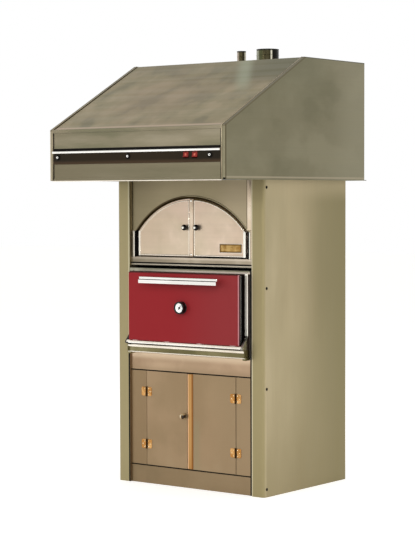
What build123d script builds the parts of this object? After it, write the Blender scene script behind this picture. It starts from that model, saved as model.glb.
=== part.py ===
from build123d import *
import math
import os

os.makedirs("parts", exist_ok=True)

# All sizes are millimetres. X runs to the right seen from the front, Y to the back, Z up.
# The origin is on the floor, under the middle of the whole object.

# Sheet metal
skin = 2  # outer sheets, folded panels and doors
seam = 3  # visible gap between neighbouring front panels
fold_radius = 3  # outside radius of a plain fold
running_gap = 0.3  # between faces that turn past each other
bite = 1  # overlap where two shapes grow into one solid
cut_past = 1  # how far a cut runs past the faces that it opens
edge_share = 0.6  # rounding of a raised strip's edges, as a share of its reach

# Tower
tower_width = 900
tower_depth = 700
tower_height = 1500  # floor to the lower edge of the hood
post_width = 75  # face of each front post
post_radius = 15  # rounded front corners of the tower
post_return = 60  # depth of the posts' inner returns
rear_flange = 25
back_height_gap = 4

# Hood
hood_width = 1060
hood_depth = 1160
hood_overhang = 410  # how far the hood reaches in front of the tower
hood_height = 585
fascia_height = 245  # upright part of the hood's front
slope_run = 635  # how far the slope reaches back
hood_flange = 20  # folded edge of the hood's sides, seen from the front
hood_corner = 6  # rounding of the hood sides' outer edges
hem_height = 11
back_lip = 15
back_lip_height = 3

# Control strip on the hood
strip_low = 79  # above the hood's lower edge
strip_height = 73
strip_margin = 4  # between the strip and the side flanges
strip_thickness = 3
rail_height = 14
rail_reach = 10
rail_level = 57  # above the strip's lower edge
fixing_left_inset = 31  # first fixing, from the strip's left end
fixing_middle = -35
fixing_right_inset = 60  # last fixing, from the strip's right end
fixing_level = 33
fixing_diameter = 27
fixing_reach = 8
fixing_dome = 19  # diameter of the raised middle
rocker_inset = 147.5  # right switch, from the strip's right end
rocker_pitch = 51
rocker_width = 30
rocker_height = 24
rocker_depth = 9  # pivot to the rocker's face
rocker_tilt = 8  # degrees to each side of the middle
rocker_gap = 0.6
rocker_reach = 1  # rocker's middle in front of the strip's face
socket_floor = 0.5  # metal left behind each trunnion's socket
well_wall = 2
trunnion_diameter = 4
pivot_clearance = 0.05  # radial, between every pin and its bore

# Top of the hood
exhaust_diameter = 114
exhaust_height = 89
conduit_diameter = 46
conduit_height = 88
conduit_offset = 166  # sideways from the exhaust
spigot_back = 90  # from the hood's back to the spigots' axes
spigot_wall = 2
spigot_flange = 18

# Levels on the tower's front, from the floor
plinth_height = 90
cupboard_height = 468  # cupboard doors
fascia_panel_height = 88
deck_thickness = 3
panel_recess = 10  # lower panels behind the post faces
plinth_return = 50
panel_return = 22
base_thickness = 3

# Cupboard doors
cupboard_half = 275  # middle of the tower to the hinge axis
cupboard_gap = 2  # between a door and its stile
cupboard_thickness = 18
astragal_width = 33
astragal_reach = 4
astragal_trim = 3  # strip is shorter than the door at each end
knob_diameter = 27
knob_reach = 25
knob_inset = 20  # beside the astragal
knob_level = 259  # above the cupboard doors' lower edge
neck_diameter = 9
rose_thickness = 2
rose_diameter = 20

# Butt hinges
leaf_length = 45
leaf_width = 32
leaf_thickness = 2
knuckle_diameter = 8
knuckle_gap = 0.5
butt_pin_diameter = 4
butt_pin_ends = 2  # pin longer than its knuckles
butt_low_level = 104  # middle of the lower hinges above the cupboard doors' lower edge
butt_high_level = 365

# Ledge under the oven
ledge_width = 720
ledge_height = 40
ledge_lift = 2  # ledge above the oven deck
ledge_reach = 38  # in front of the tower's face
ledge_nosing = 17
nosing_step = 8

# Oven body
casing_half = 364
casing_top = 1069
casing_depth = 640
frame_half = 369
frame_thickness = 4
opening_half = 302
opening_low = 735
opening_high = 1036
firebox_wall = 5
firebox_depth = 590
firebox_margin = 5  # cavity larger than the opening on every side
gasket_width = 10
gasket_gap = 0.3
trim_offset = 12  # bright upright trims from the frame's edge
trim_width = 11
trim_reach = 5

# Inside the firebox
rib_width = 12
rib_height = 8
grate_level = 775
grate_thickness = 10
rack_low_level = 860
rack_high_level = 950
rack_bar = 8
rack_rod = 6
rack_rods = 21
rack_back_gap = 41  # racks to the firebox's back wall
rack_clearance = 5
ash_pan_height = 24
ash_pan_clearance = 17
grate_slots = 16
grate_slot_width = 12
grate_border = 30

# Oven door
door_width = 674
door_height = 337
door_face = 55  # front of the door in front of the tower's face
pan_depth = 18
liner_margin = 7  # liner inside the pan's outline at the sides
liner_end_margin = 5  # and at its upper and lower edges
liner_depth = 24
shadow_gap = 1  # between the pan's edge and the liner's edge
door_corner = 3
plug_clearance = 6
plug_reach = 6
hinge_forward = 45  # hinge axis in front of the tower's face
rod_diameter = 12
rod_length = 690
journal_diameter = 8
rod_drop = 11  # hinge axis below the door's lower edge
tab_width = 30
tab_thickness = 8
tab_count = 4
tab_pitch = 200
bracket_inner = 348
bracket_thickness = 12
bracket_nose = 9  # radius round the hinge axis
bracket_rise = 56  # top of the bracket above the hinge axis

# Handle and thermometer on the oven door
handle_width = 478
handle_top = 17  # below the door's upper edge
handle_height = 41
handle_slope = 13  # height of the sloped upper part
handle_upper_reach = 23
handle_reach = 43
handle_thickness = 4
stud_diameter = 14
stud_inset = 49
dial_level = 170  # above the door's lower edge
dial_diameter = 47
bezel_diameter = 61
case_reach = 27
case_wall = 3.5
glass_depth = 3
dial_depth = 10
stem_diameter = 8
stem_clearance = 0.5
stem_reach = 40
spindle_diameter = 2
needle_length = 18
needle_tail = 8
needle_width = 2
needle_hub = 7
needle_thickness = 1.2
needle_turn = 50  # degrees from level at rest
needle_lift = 1.5  # needle in front of the dial
needle_tail_diameter = 5.2
spindle_end = 0.5  # spindle in front of the needle

# Arched doors above the oven
sill_height = 40
sill_drop = 16  # sill's lower edge above the casing's top
sill_lip = 8
sill_groove = 7
sill_recess = 14
sill_lip_reach = 2
sill_groove_depth = 4
arch_recess = 18
arch_half = 344
arch_wall = 3
arch_spring = 129  # above the sill
arch_rise = 170
jamb_width = 28
jamb_thickness = 3
arch_gap = 11  # dark reveal round the doors
arch_door_low = 4
arch_door_recess = 5  # behind the arch panel's face
arch_door_thickness = 18
stop_gap = 0.5
stop_width = 17
arch_split = 1
arch_strip_width = 20
arch_strip_reach = 3
arch_knob_places = 36
arch_knob_level = 141  # above the doors' lower edge
arch_knob_diameter = 26
arch_knuckle = 8
arch_axis_depth = 2.5  # hinge axis behind the doors' faces
arch_axis_out = 5.5  # hinge axis beyond the doors' edges
arch_pin_diameter = 4
arch_lug_height = 15
arch_lug_gap = 0.5
arch_lug_low = 10  # above the doors' lower edge
arch_lug_pitch = 65

# Space behind the arched doors, and the flue
warming_margin = 12  # box wider than the arch on each side
warming_head = 36
warming_depth = 560
flue_diameter = 120
flue_wall = 3
flue_clearance = 2
flue_back = 240  # flue axis to the tower's back
flue_base_width = 170
flue_base_thickness = 5
flue_top = 60  # above the hood's lower edge
damper_level = 200  # above the sill
damper_thickness = 3
damper_clearance = 0.6
shaft_diameter = 8
lever_length = 62
lever_thickness = 4
lever_knob = 16
lever_knob_reach = 14
lever_stand_off = 12

# Grease filters in the hood
filter_count = 3
filter_thickness = 25
filter_gap = 2
filter_border = 30
filter_slots = 6
filter_bar = 16
filter_clearance = 1
channel_height = 15

# Screws on the tower's sides
screw_first = 38  # level of the lowest screw
screw_pitch = 476
screw_count = 4
screw_depth = 20  # behind the tower's front
screw_head = 8
screw_head_height = 2
screw_shank = 4
screw_length = 10
screw_clearance = 0.2

# Derived places
total_depth = rail_reach + strip_thickness - skin + hood_depth + back_lip
hood_front = rail_reach + strip_thickness - skin - total_depth / 2
hood_back = hood_front + hood_depth
front = hood_front + hood_overhang
tower_back = front + tower_depth
tower_half = tower_width / 2
inner_half = tower_half - post_width
tower_top = tower_height + skin
hood_half = hood_width / 2
sheet_half = hood_half - hood_corner
flange_half = hood_half - hood_flange
strip_half = flange_half - strip_margin
rocker_places = (strip_half - rocker_inset - rocker_pitch, strip_half - rocker_inset)
fixing_places = (fixing_left_inset - strip_half, fixing_middle, strip_half - fixing_right_inset)
hood_top_z = tower_height + hood_height
crease = tower_height + fascia_height
slope_tan = (hood_height - fascia_height) / slope_run
slope_cos = 1 / math.hypot(1, slope_tan)
panel_face = front + panel_recess
door_low = plinth_height + seam
door_high = door_low + cupboard_height
fascia_low = door_high + seam
fascia_high = fascia_low + fascia_panel_height
deck_top = fascia_high + deck_thickness
ledge_top = deck_top + ledge_lift + ledge_height
hinge_y = front - hinge_forward
hinge_z = ledge_top + bracket_nose
oven_low = hinge_z + rod_drop
oven_high = oven_low + door_height
door_front = front - door_face
frame_face = front - frame_thickness
frame_high = casing_top + skin
sill_low = casing_top + sill_drop
sill_high = sill_low + sill_height
arch_face = front + arch_recess
arch_inner_low = sill_high + arch_wall
spring_z = sill_high + arch_spring
apex_z = spring_z + arch_rise
leaf_face = arch_face + arch_door_recess
leaf_back = leaf_face + arch_door_thickness
leaf_low = arch_inner_low + arch_door_low
leaf_half = arch_half - arch_gap
arch_axis_x = leaf_half + arch_axis_out
arch_axis_y = leaf_face + arch_axis_depth
flue_y = tower_back - flue_back
butt_levels = (butt_low_level, butt_high_level)
rack_levels = (rack_low_level, rack_high_level)
rack_depth = firebox_depth - firebox_wall - 2 * rib_width - rack_back_gap
arch_lug_levels = (arch_lug_low, arch_lug_low + arch_lug_pitch)
tab_places = [tab_pitch * (index - (tab_count - 1) / 2) for index in range(tab_count)]
screw_levels = [screw_first + screw_pitch * index for index in range(screw_count)]
spigot_y = hood_back - spigot_back


def block(x, y, z, mode=Mode.ADD):
    """Add a box between two limits on each axis to the piece being built."""
    spans = (x, y, z)
    middle = tuple((low + high) / 2 for low, high in spans)
    with Locations(middle):
        Box(*(abs(high - low) for low, high in spans), mode=mode)


def rod(centre, diameter, length, axis, mode=Mode.ADD):
    """Add a round bar along one axis to the piece being built."""
    turns = {"X": (0, 90, 0), "Y": (90, 0, 0), "Z": (0, 0, 0)}
    with Locations(centre):
        Cylinder(diameter / 2, length, rotation=turns[axis], mode=mode)


def save(piece, name):
    """Label a finished piece and write it to its own file."""
    piece.part.label = name
    export_step(piece.part, f"parts/{name}.step")


def arch_shape(half, low, spring, rise):
    """Return the flat shape of an arch: straight legs under one round arc."""
    with BuildSketch() as shape:
        with BuildLine():
            Polyline((-half, spring), (-half, low), (half, low), (half, spring))
            ThreePointArc((half, spring), (0, spring + rise), (-half, spring))
        make_face()
    return shape.sketch


def arch_inside(inset):
    """Return the arch of the opening, made smaller all round by an inset."""
    radius = (arch_half ** 2 + arch_rise ** 2) / (2 * arch_rise) - inset
    half = arch_half - inset
    centre = apex_z - (arch_half ** 2 + arch_rise ** 2) / (2 * arch_rise)
    spring = centre + math.sqrt(radius ** 2 - half ** 2)
    return arch_shape(half, arch_inner_low + inset, spring, centre + radius - spring)


def crease_point(inset):
    """Return the hood's front crease, moved inwards by an inset."""
    return (hood_front + inset, crease + inset * slope_tan - inset / slope_cos)


def brow_point(inset):
    """Return the corner between the hood's slope and top, moved inwards by an inset."""
    z = hood_top_z - inset
    y = hood_front + (z - crease + inset / slope_cos) / slope_tan
    return (y, z)


# Side panels: one folded sheet makes the post, the rounded corner and the side
with BuildPart() as side_panel_right:
    with BuildSketch() as side_plan:
        with BuildLine():
            FilletPolyline(
                (inner_half, front + post_return),
                (inner_half, front),
                (tower_half, front),
                (tower_half, tower_back),
                (tower_half - rear_flange, tower_back),
                radius=(fold_radius, post_radius, fold_radius),
            )
            offset(amount=skin, side=Side.LEFT)
        make_face()
    extrude(amount=tower_top)
    for level in screw_levels:
        rod((tower_half, front + screw_depth, level), screw_shank + 2 * screw_clearance,
            4 * skin, "X", Mode.SUBTRACT)
save(side_panel_right, "side_panel_right")

with BuildPart() as side_panel_left:
    mirror(side_panel_right.part, about=Plane.YZ)
save(side_panel_left, "side_panel_left")

with BuildPart() as side_screws:
    for side in (-1, 1):
        for level in screw_levels:
            with Locations((side * (tower_half + screw_head_height / 2), front + screw_depth, level)):
                Cylinder(screw_head / 2, screw_head_height, rotation=(0, 90, 0))
            with Locations((side * (tower_half - screw_length / 2), front + screw_depth, level)):
                Cylinder(screw_shank / 2, screw_length, rotation=(0, 90, 0))
save(side_screws, "side_screws")

with BuildPart() as back_panel:
    block((-tower_half + fold_radius, tower_half - fold_radius),
          (tower_back - 2 * skin, tower_back - skin), (back_height_gap, tower_top))
save(back_panel, "back_panel")

# Plinth: a folded channel whose lower return rests on the floor
with BuildPart() as plinth_panel:
    with BuildSketch(Plane.YZ.offset(-inner_half)):
        with BuildLine():
            FilletPolyline(
                (panel_face + plinth_return, 0),
                (panel_face, 0),
                (panel_face, plinth_height),
                (panel_face + panel_return, plinth_height),
                radius=fold_radius,
            )
            offset(amount=skin, side=Side.RIGHT)
        make_face()
    extrude(amount=2 * inner_half)
save(plinth_panel, "plinth_panel")

with BuildPart() as base_panel:
    block((-tower_half + skin, tower_half - skin), (panel_face + fold_radius, tower_back - 2 * skin),
          (plinth_height - skin - base_thickness, plinth_height - skin))
    for side in (-1, 1):
        block((side * (inner_half - skin), side * tower_half), (front, front + post_return),
              (plinth_height - skin - base_thickness, plinth_height - skin), Mode.SUBTRACT)
save(base_panel, "base_panel")

with BuildPart() as fascia_panel:
    with BuildSketch(Plane.YZ.offset(-inner_half)):
        with BuildLine():
            FilletPolyline(
                (panel_face + panel_return, fascia_low),
                (panel_face, fascia_low),
                (panel_face, fascia_high),
                (panel_face + panel_return, fascia_high),
                radius=fold_radius,
            )
            offset(amount=skin, side=Side.RIGHT)
        make_face()
    extrude(amount=2 * inner_half)
save(fascia_panel, "fascia_panel")

with BuildPart() as cupboard_stiles:
    with BuildSketch(Plane.XY.offset(door_low)):
        with BuildLine():
            FilletPolyline(
                (inner_half, panel_face),
                (cupboard_half + cupboard_gap / 2, panel_face),
                (cupboard_half + cupboard_gap / 2, panel_face + panel_return),
                radius=fold_radius,
            )
            offset(amount=skin, side=Side.RIGHT)
        make_face()
        mirror(about=Plane.YZ)
    extrude(amount=cupboard_height)
save(cupboard_stiles, "cupboard_stiles")

with BuildPart() as oven_deck:
    block((-tower_half + skin, tower_half - skin), (panel_face - skin, tower_back - 2 * skin),
          (fascia_high, deck_top))
    for side in (-1, 1):
        block((side * inner_half, side * tower_half), (front, front + post_return),
              (fascia_high, deck_top), Mode.SUBTRACT)
save(oven_deck, "oven_deck")

# Cupboard doors: pan-shaped leaves, the astragal beside the gap on the right one
split_x = -astragal_width / 2
leaf_limits = {
    "left": (-cupboard_half + cupboard_gap / 2, split_x - seam),
    "right": (split_x, cupboard_half - cupboard_gap / 2),
}


def pan_door(limits, levels, face, thickness):
    """Return a pan-shaped door leaf, open at the back, with softened front edges."""
    with BuildPart() as leaf:
        block(limits, (face, face + thickness), levels)
        offset(amount=-skin, openings=leaf.faces().sort_by(Axis.Y)[-1])
        fillet(leaf.faces().sort_by(Axis.Y)[0].edges(), radius=skin / 2)
    return leaf


for side, limits in leaf_limits.items():
    cupboard_leaf = pan_door(limits, (door_low, door_high), panel_face, cupboard_thickness)
    save(cupboard_leaf, f"cupboard_door_{side}")

with BuildPart() as cupboard_astragal:
    block((split_x, split_x + astragal_width), (panel_face - astragal_reach, panel_face),
          (door_low + astragal_trim, door_high - astragal_trim))
    fillet(cupboard_astragal.faces().sort_by(Axis.Y)[0].edges().filter_by(Axis.Z),
           radius=astragal_reach * edge_share)
save(cupboard_astragal, "cupboard_astragal")


def ball_knob(x, z, face, diameter, reach):
    """Return a ball on a round neck and rose, standing out of a door's face."""
    with BuildPart() as knob:
        with Locations((x, face - reach + diameter / 2, z)):
            Sphere(diameter / 2)
        rod((x, face - reach / 4, z), neck_diameter, reach / 2, "Y")
        rod((x, face - rose_thickness / 2, z), rose_diameter, rose_thickness, "Y")
    return knob


cupboard_knob = ball_knob(split_x - knob_inset - seam, door_low + knob_level, panel_face,
                          knob_diameter, knob_reach + rose_thickness)
save(cupboard_knob, "cupboard_knob")

# Butt hinges: the outer knuckles belong to the fixed leaves, the middle one to the door
knuckle_r = knuckle_diameter / 2
butt_axis_y = panel_face - knuckle_r - running_gap
third = leaf_length / 3


def butt_leaf(side, spans, outwards):
    """Add one leaf with its knuckles at every hinge of one side."""
    axis_x = side * cupboard_half
    direction = side if outwards else -side
    near = knuckle_r + knuckle_gap
    for level in butt_levels:
        z = door_low + level - leaf_length / 2
        block((axis_x + direction * near, axis_x + direction * leaf_width),
              (panel_face - leaf_thickness, panel_face), (z, z + leaf_length))
        for low, high in spans:
            rod((axis_x, butt_axis_y, z + (low + high) / 2), knuckle_diameter, high - low, "Z")
            block((axis_x, axis_x + direction * (near + bite)),
                  (panel_face - leaf_thickness, panel_face - running_gap), (z + low, z + high))
            rod((axis_x, butt_axis_y, z + (low + high) / 2),
                butt_pin_diameter + 2 * pivot_clearance, high - low + cut_past, "Z", Mode.SUBTRACT)


outer_spans = ((0, third - knuckle_gap), (2 * third + knuckle_gap, leaf_length))
middle_span = ((third, 2 * third),)

with BuildPart() as butt_leaves_fixed:
    butt_leaf(-1, outer_spans, True)
    butt_leaf(1, outer_spans, True)
save(butt_leaves_fixed, "butt_leaves_fixed")

with BuildPart() as butt_leaves_left:
    butt_leaf(-1, middle_span, False)
save(butt_leaves_left, "butt_leaves_left")

with BuildPart() as butt_leaves_right:
    butt_leaf(1, middle_span, False)
save(butt_leaves_right, "butt_leaves_right")

# Hinge pins of the cupboard doors and of the arched doors, all fixed
arch_pin_low = leaf_low + arch_lug_levels[0] - arch_lug_gap
arch_pin_high = leaf_low + arch_lug_levels[1] + 2 * arch_lug_height + arch_lug_gap
with BuildPart() as hinge_pins:
    for side in (-1, 1):
        for level in butt_levels:
            rod((side * cupboard_half, butt_axis_y, door_low + level), butt_pin_diameter,
                leaf_length + butt_pin_ends, "Z")
        rod((side * arch_axis_x, arch_axis_y, (arch_pin_low + arch_pin_high) / 2),
            arch_pin_diameter, arch_pin_high - arch_pin_low, "Z")
save(hinge_pins, "hinge_pins")

# Oven body
casing_low = deck_top
with BuildPart() as oven_casing:
    block((-casing_half, casing_half), (front, front + casing_depth), (casing_low, casing_top))
    offset(amount=-skin, openings=oven_casing.faces().sort_by(Axis.Y)[0])
    rod((0, flue_y, casing_top), flue_diameter - 2 * flue_wall, 4 * skin, "Z", Mode.SUBTRACT)
save(oven_casing, "oven_casing")

cavity_half = opening_half + firebox_margin
cavity_low = opening_low - firebox_margin
cavity_high = opening_high + firebox_margin
box_half = cavity_half + firebox_wall
with BuildPart() as oven_insulation:
    block((-casing_half + skin, casing_half - skin), (front, front + casing_depth - skin),
          (casing_low + skin, casing_top - skin))
    block((-box_half, box_half), (front, front + firebox_depth),
          (cavity_low - firebox_wall, cavity_high + firebox_wall), Mode.SUBTRACT)
    rod((0, flue_y, casing_top), flue_diameter - 2 * flue_wall,
        2 * (casing_top - cavity_high), "Z", Mode.SUBTRACT)
save(oven_insulation, "oven_insulation")

with BuildPart() as firebox:
    block((-box_half, box_half), (front, front + firebox_depth),
          (cavity_low - firebox_wall, cavity_high + firebox_wall))
    block((-cavity_half, cavity_half), (front, front + firebox_depth - firebox_wall),
          (cavity_low, cavity_high), Mode.SUBTRACT)
    rod((0, flue_y, cavity_high), flue_diameter - 2 * flue_wall, 4 * firebox_wall, "Z",
        Mode.SUBTRACT)
    for level in (grate_level, *rack_levels):
        for side in (-1, 1):
            block((side * (cavity_half - rib_width), side * cavity_half),
                  (front + rib_width, front + firebox_depth - firebox_wall),
                  (level - rib_height, level))
save(firebox, "firebox")

with BuildPart() as face_frame:
    block((-frame_half, frame_half), (frame_face, front), (casing_low, frame_high))
    block((-opening_half, opening_half), (frame_face, front), (opening_low, opening_high),
          Mode.SUBTRACT)
    trim_outer = frame_half - trim_offset
    for side in (-1, 1):
        block((side * (trim_outer - trim_width), side * trim_outer),
              (frame_face - trim_reach, frame_face),
              (hinge_z + bracket_rise, frame_high - trim_offset))
save(face_frame, "face_frame")

with BuildPart() as door_gasket:
    with BuildSketch(Plane.XZ.offset(-frame_face)):
        with Locations((0, (opening_low + opening_high) / 2)):
            RectangleRounded(2 * (opening_half + skin + gasket_width),
                             opening_high - opening_low + 2 * (skin + gasket_width), gasket_width)
            Rectangle(2 * (opening_half + skin), opening_high - opening_low + 2 * skin,
                      mode=Mode.SUBTRACT)
    liner_back = door_front + pan_depth + shadow_gap + liner_depth
    extrude(amount=frame_face - liner_back - gasket_gap)
save(door_gasket, "door_gasket")

# Inside the firebox
rack_half = cavity_half - rack_clearance
with BuildPart() as charcoal_grate:
    block((-rack_half, rack_half), (front + rib_width, front + firebox_depth - 2 * rib_width),
          (grate_level, grate_level + grate_thickness))
    grate_run = firebox_depth - 3 * rib_width - 2 * grate_border
    with Locations((0, front + rib_width + grate_border + grate_run / 2,
                    grate_level + grate_thickness / 2)):
        with GridLocations((2 * (rack_half - grate_border)) / grate_slots, 0, grate_slots, 1):
            Box(grate_slot_width, grate_run, grate_thickness, mode=Mode.SUBTRACT)
save(charcoal_grate, "charcoal_grate")

with BuildPart() as grill_racks:
    for level in rack_levels:
        rack_y = (front + 2 * rib_width, front + 2 * rib_width + rack_depth)
        bar_z = (level, level + rack_bar)
        block((-rack_half, rack_half), (rack_y[0], rack_y[0] + rack_bar), bar_z)
        block((-rack_half, rack_half), (rack_y[1] - rack_bar, rack_y[1]), bar_z)
        for side in (-1, 1):
            block((side * (rack_half - rack_bar), side * rack_half), rack_y, bar_z)
        with Locations((0, sum(rack_y) / 2, level + rack_bar / 2)):
            with GridLocations(2 * rack_half / (rack_rods + 1), 0, rack_rods, 1):
                Cylinder(rack_rod / 2, rack_depth - rack_bar, rotation=(90, 0, 0))
save(grill_racks, "grill_racks")

with BuildPart() as ash_pan:
    pan_half = cavity_half - ash_pan_clearance
    block((-pan_half, pan_half), (front + ash_pan_clearance, front + firebox_depth - 2 * rib_width),
          (cavity_low, cavity_low + ash_pan_height))
    offset(amount=-skin, openings=ash_pan.faces().sort_by(Axis.Z)[-1])
save(ash_pan, "ash_pan")

# Oven door, closed; it drops forwards about the hinge rod
door_half = door_width / 2
dial_z = oven_low + dial_level
stem_hole = stem_diameter + 2 * stem_clearance
with BuildPart() as door_pan:
    block((-door_half, door_half), (door_front, door_front + pan_depth), (oven_low, oven_high))
    offset(amount=-skin, openings=door_pan.faces().sort_by(Axis.Y)[-1])
    fillet(door_pan.faces().sort_by(Axis.Y)[0].edges(), radius=door_corner / 2)
    rod((0, door_front, dial_z), stem_hole, 4 * skin, "Y", Mode.SUBTRACT)
save(door_pan, "door_pan")

liner_half = door_half - liner_margin
liner_front = door_front + pan_depth + shadow_gap
liner_z = (oven_low + liner_end_margin, oven_high - liner_end_margin)
with BuildPart() as door_insulation:
    block((-liner_half + skin, liner_half - skin), (door_front + skin, liner_back - skin),
          (liner_z[0] + skin, liner_z[1] - skin))
    rod((0, (door_front + liner_back) / 2, dial_z), stem_hole, 2 * door_face, "Y", Mode.SUBTRACT)
save(door_insulation, "door_insulation")

with BuildPart() as door_liner:
    block((-liner_half, liner_half), (liner_front, liner_back), liner_z)
    offset(amount=-skin, openings=door_liner.faces().sort_by(Axis.Y)[0])
    plug_half = opening_half - plug_clearance
    block((-plug_half, plug_half), (liner_back, liner_back + plug_reach),
          (opening_low + plug_clearance, opening_high - plug_clearance))
    rod((0, liner_back, dial_z), stem_hole, 4 * plug_reach, "Y", Mode.SUBTRACT)
save(door_liner, "door_liner")

handle_z = oven_high - handle_top
with BuildPart() as door_handle:
    with BuildSketch(Plane.YZ.offset(-handle_width / 2)):
        with BuildLine():
            FilletPolyline(
                (door_front - handle_upper_reach, handle_z),
                (door_front - handle_reach, handle_z - handle_slope),
                (door_front - handle_reach, handle_z - handle_height),
                radius=fold_radius,
            )
            offset(amount=handle_thickness, side=Side.LEFT)
        make_face()
    extrude(amount=handle_width)
    for side in (-1, 1):
        stud_run = handle_reach - handle_thickness / 2
        rod((side * (handle_width / 2 - stud_inset), door_front - stud_run / 2,
             handle_z - handle_slope - (handle_height - handle_slope) / 2), stud_diameter,
            stud_run, "Y")
save(door_handle, "door_handle")

case_front = door_front - case_reach
dial_y = case_front + dial_depth
with BuildPart() as thermometer_case:
    rod((0, door_front - case_reach / 2, dial_z), bezel_diameter, case_reach, "Y")
    fillet(thermometer_case.faces().sort_by(Axis.Y)[0].edges(), radius=case_wall / 2)
    inside = bezel_diameter - 2 * case_wall
    rod((0, (case_front + glass_depth + dial_y) / 2, dial_z), inside,
        dial_depth - glass_depth, "Y", Mode.SUBTRACT)
    rod((0, case_front + glass_depth / 2, dial_z), dial_diameter, glass_depth, "Y", Mode.SUBTRACT)
    rod((0, door_front + (stem_reach + door_face) / 2, dial_z), stem_diameter,
        stem_reach + door_face, "Y")
    spindle_run = needle_lift + needle_thickness + spindle_end
    rod((0, dial_y - spindle_run / 2, dial_z), spindle_diameter, spindle_run, "Y")
save(thermometer_case, "thermometer_case")

needle_plane = Plane(
    origin=(0, dial_y - needle_lift, dial_z),
    x_dir=(math.cos(math.radians(needle_turn)), 0, math.sin(math.radians(needle_turn))),
    z_dir=(0, -1, 0),
)
with BuildPart() as thermometer_needle:
    with BuildSketch(needle_plane):
        Circle(needle_hub / 2)
        with Locations(((needle_length - needle_tail) / 2, 0)):
            Rectangle(needle_length + needle_tail, needle_width)
        with Locations((-needle_tail, 0)):
            Circle(needle_tail_diameter / 2)
        Circle(spindle_diameter / 2 + pivot_clearance, mode=Mode.SUBTRACT)
    extrude(amount=needle_thickness)
save(thermometer_needle, "thermometer_needle")

bracket_outer = bracket_inner + bracket_thickness
with BuildPart() as hinge_rod:
    rod((0, hinge_y, hinge_z), rod_diameter, rod_length, "X")
    rod((0, hinge_y, hinge_z), journal_diameter, 2 * bracket_outer, "X")
    for place in tab_places:
        block((place - tab_width / 2, place + tab_width / 2),
              (hinge_y - tab_thickness / 2, hinge_y + tab_thickness / 2), (hinge_z, oven_low))
save(hinge_rod, "hinge_rod")

with BuildPart() as hinge_brackets:
    with BuildSketch(Plane.YZ.offset(bracket_inner)) as bracket_side:
        with Locations((hinge_y, hinge_z)):
            Circle(bracket_nose)
        with Locations((frame_face - fold_radius / 2, hinge_z + (bracket_rise - bracket_nose) / 2)):
            Rectangle(fold_radius, bracket_rise + bracket_nose)
        make_hull()
        with Locations((hinge_y, hinge_z)):
            Circle(journal_diameter / 2 + pivot_clearance, mode=Mode.SUBTRACT)
    extrude(amount=bracket_thickness)
    mirror(about=Plane.YZ)
save(hinge_brackets, "hinge_brackets")

# Ledge: a folded shelf with a rolled nosing over a plain lower band
with BuildPart() as ledge_shelf:
    nosing = ledge_nosing / 2
    ledge_low = ledge_top - ledge_height
    band_y = front - ledge_reach + nosing_step
    with BuildSketch(Plane.YZ.offset(-ledge_width / 2)):
        with BuildLine():
            Polyline(
                (frame_face, ledge_low),
                (band_y, ledge_low),
                (band_y, ledge_top - ledge_nosing),
                (band_y - nosing_step + nosing, ledge_top - ledge_nosing),
            )
            ThreePointArc(
                (band_y - nosing_step + nosing, ledge_top - ledge_nosing),
                (band_y - nosing_step, ledge_top - nosing),
                (band_y - nosing_step + nosing, ledge_top),
            )
            Polyline(
                (band_y - nosing_step + nosing, ledge_top),
                (frame_face, ledge_top),
                (frame_face, ledge_low),
            )
        make_face()
    extrude(amount=ledge_width)
save(ledge_shelf, "ledge_shelf")

# Front above the oven: sill, arch panel and the lining of the arched opening
sill_face = front + sill_recess
with BuildPart() as sill_rail:
    block((-inner_half, inner_half), (sill_face, arch_face + skin), (sill_low, sill_high))
    groove_low = sill_low + sill_lip
    block((-inner_half, inner_half), (sill_face, sill_face + sill_groove_depth),
          (groove_low, groove_low + sill_groove), Mode.SUBTRACT)
    block((-inner_half, inner_half), (sill_face - sill_lip_reach, sill_face), (sill_low, groove_low))
save(sill_rail, "sill_rail")

with BuildPart() as arch_panel:
    with BuildSketch(Plane.XZ.offset(-arch_face)):
        with Locations((0, (sill_high + tower_top) / 2)):
            Rectangle(2 * inner_half, tower_top - sill_high)
        add(arch_inside(-arch_wall), mode=Mode.SUBTRACT)
    extrude(amount=-skin)
save(arch_panel, "arch_panel")

stop_face = leaf_back + stop_gap
with BuildPart() as arch_reveal:
    with BuildSketch(Plane.XZ.offset(-arch_face)):
        add(arch_inside(-arch_wall))
        add(arch_inside(0), mode=Mode.SUBTRACT)
    extrude(amount=-(stop_face + skin - arch_face))
    with BuildSketch(Plane.XZ.offset(-stop_face)):
        add(arch_inside(0))
        add(arch_inside(stop_width), mode=Mode.SUBTRACT)
    extrude(amount=-skin)
    for side in (-1, 1):
        block((side * arch_half, side * (arch_half + jamb_width)),
              (arch_face - jamb_thickness, arch_face), (sill_high, spring_z))
        for level in arch_lug_levels:
            lug_z = leaf_low + level
            rod((side * arch_axis_x, arch_axis_y, lug_z + arch_lug_height / 2), arch_knuckle,
                arch_lug_height, "Z")
            block((side * arch_axis_x, side * (arch_half + bite)),
                  (arch_axis_y - bite, arch_axis_y + arch_knuckle / 2),
                  (lug_z, lug_z + arch_lug_height))
            rod((side * arch_axis_x, arch_axis_y, lug_z + arch_lug_height / 2),
                arch_pin_diameter + 2 * pivot_clearance, arch_lug_height + cut_past, "Z",
                Mode.SUBTRACT)
save(arch_reveal, "arch_reveal")

# Arched doors: two leaves, the bright strip beside the gap on the right one
arch_split_x = -arch_strip_width / 2


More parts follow.
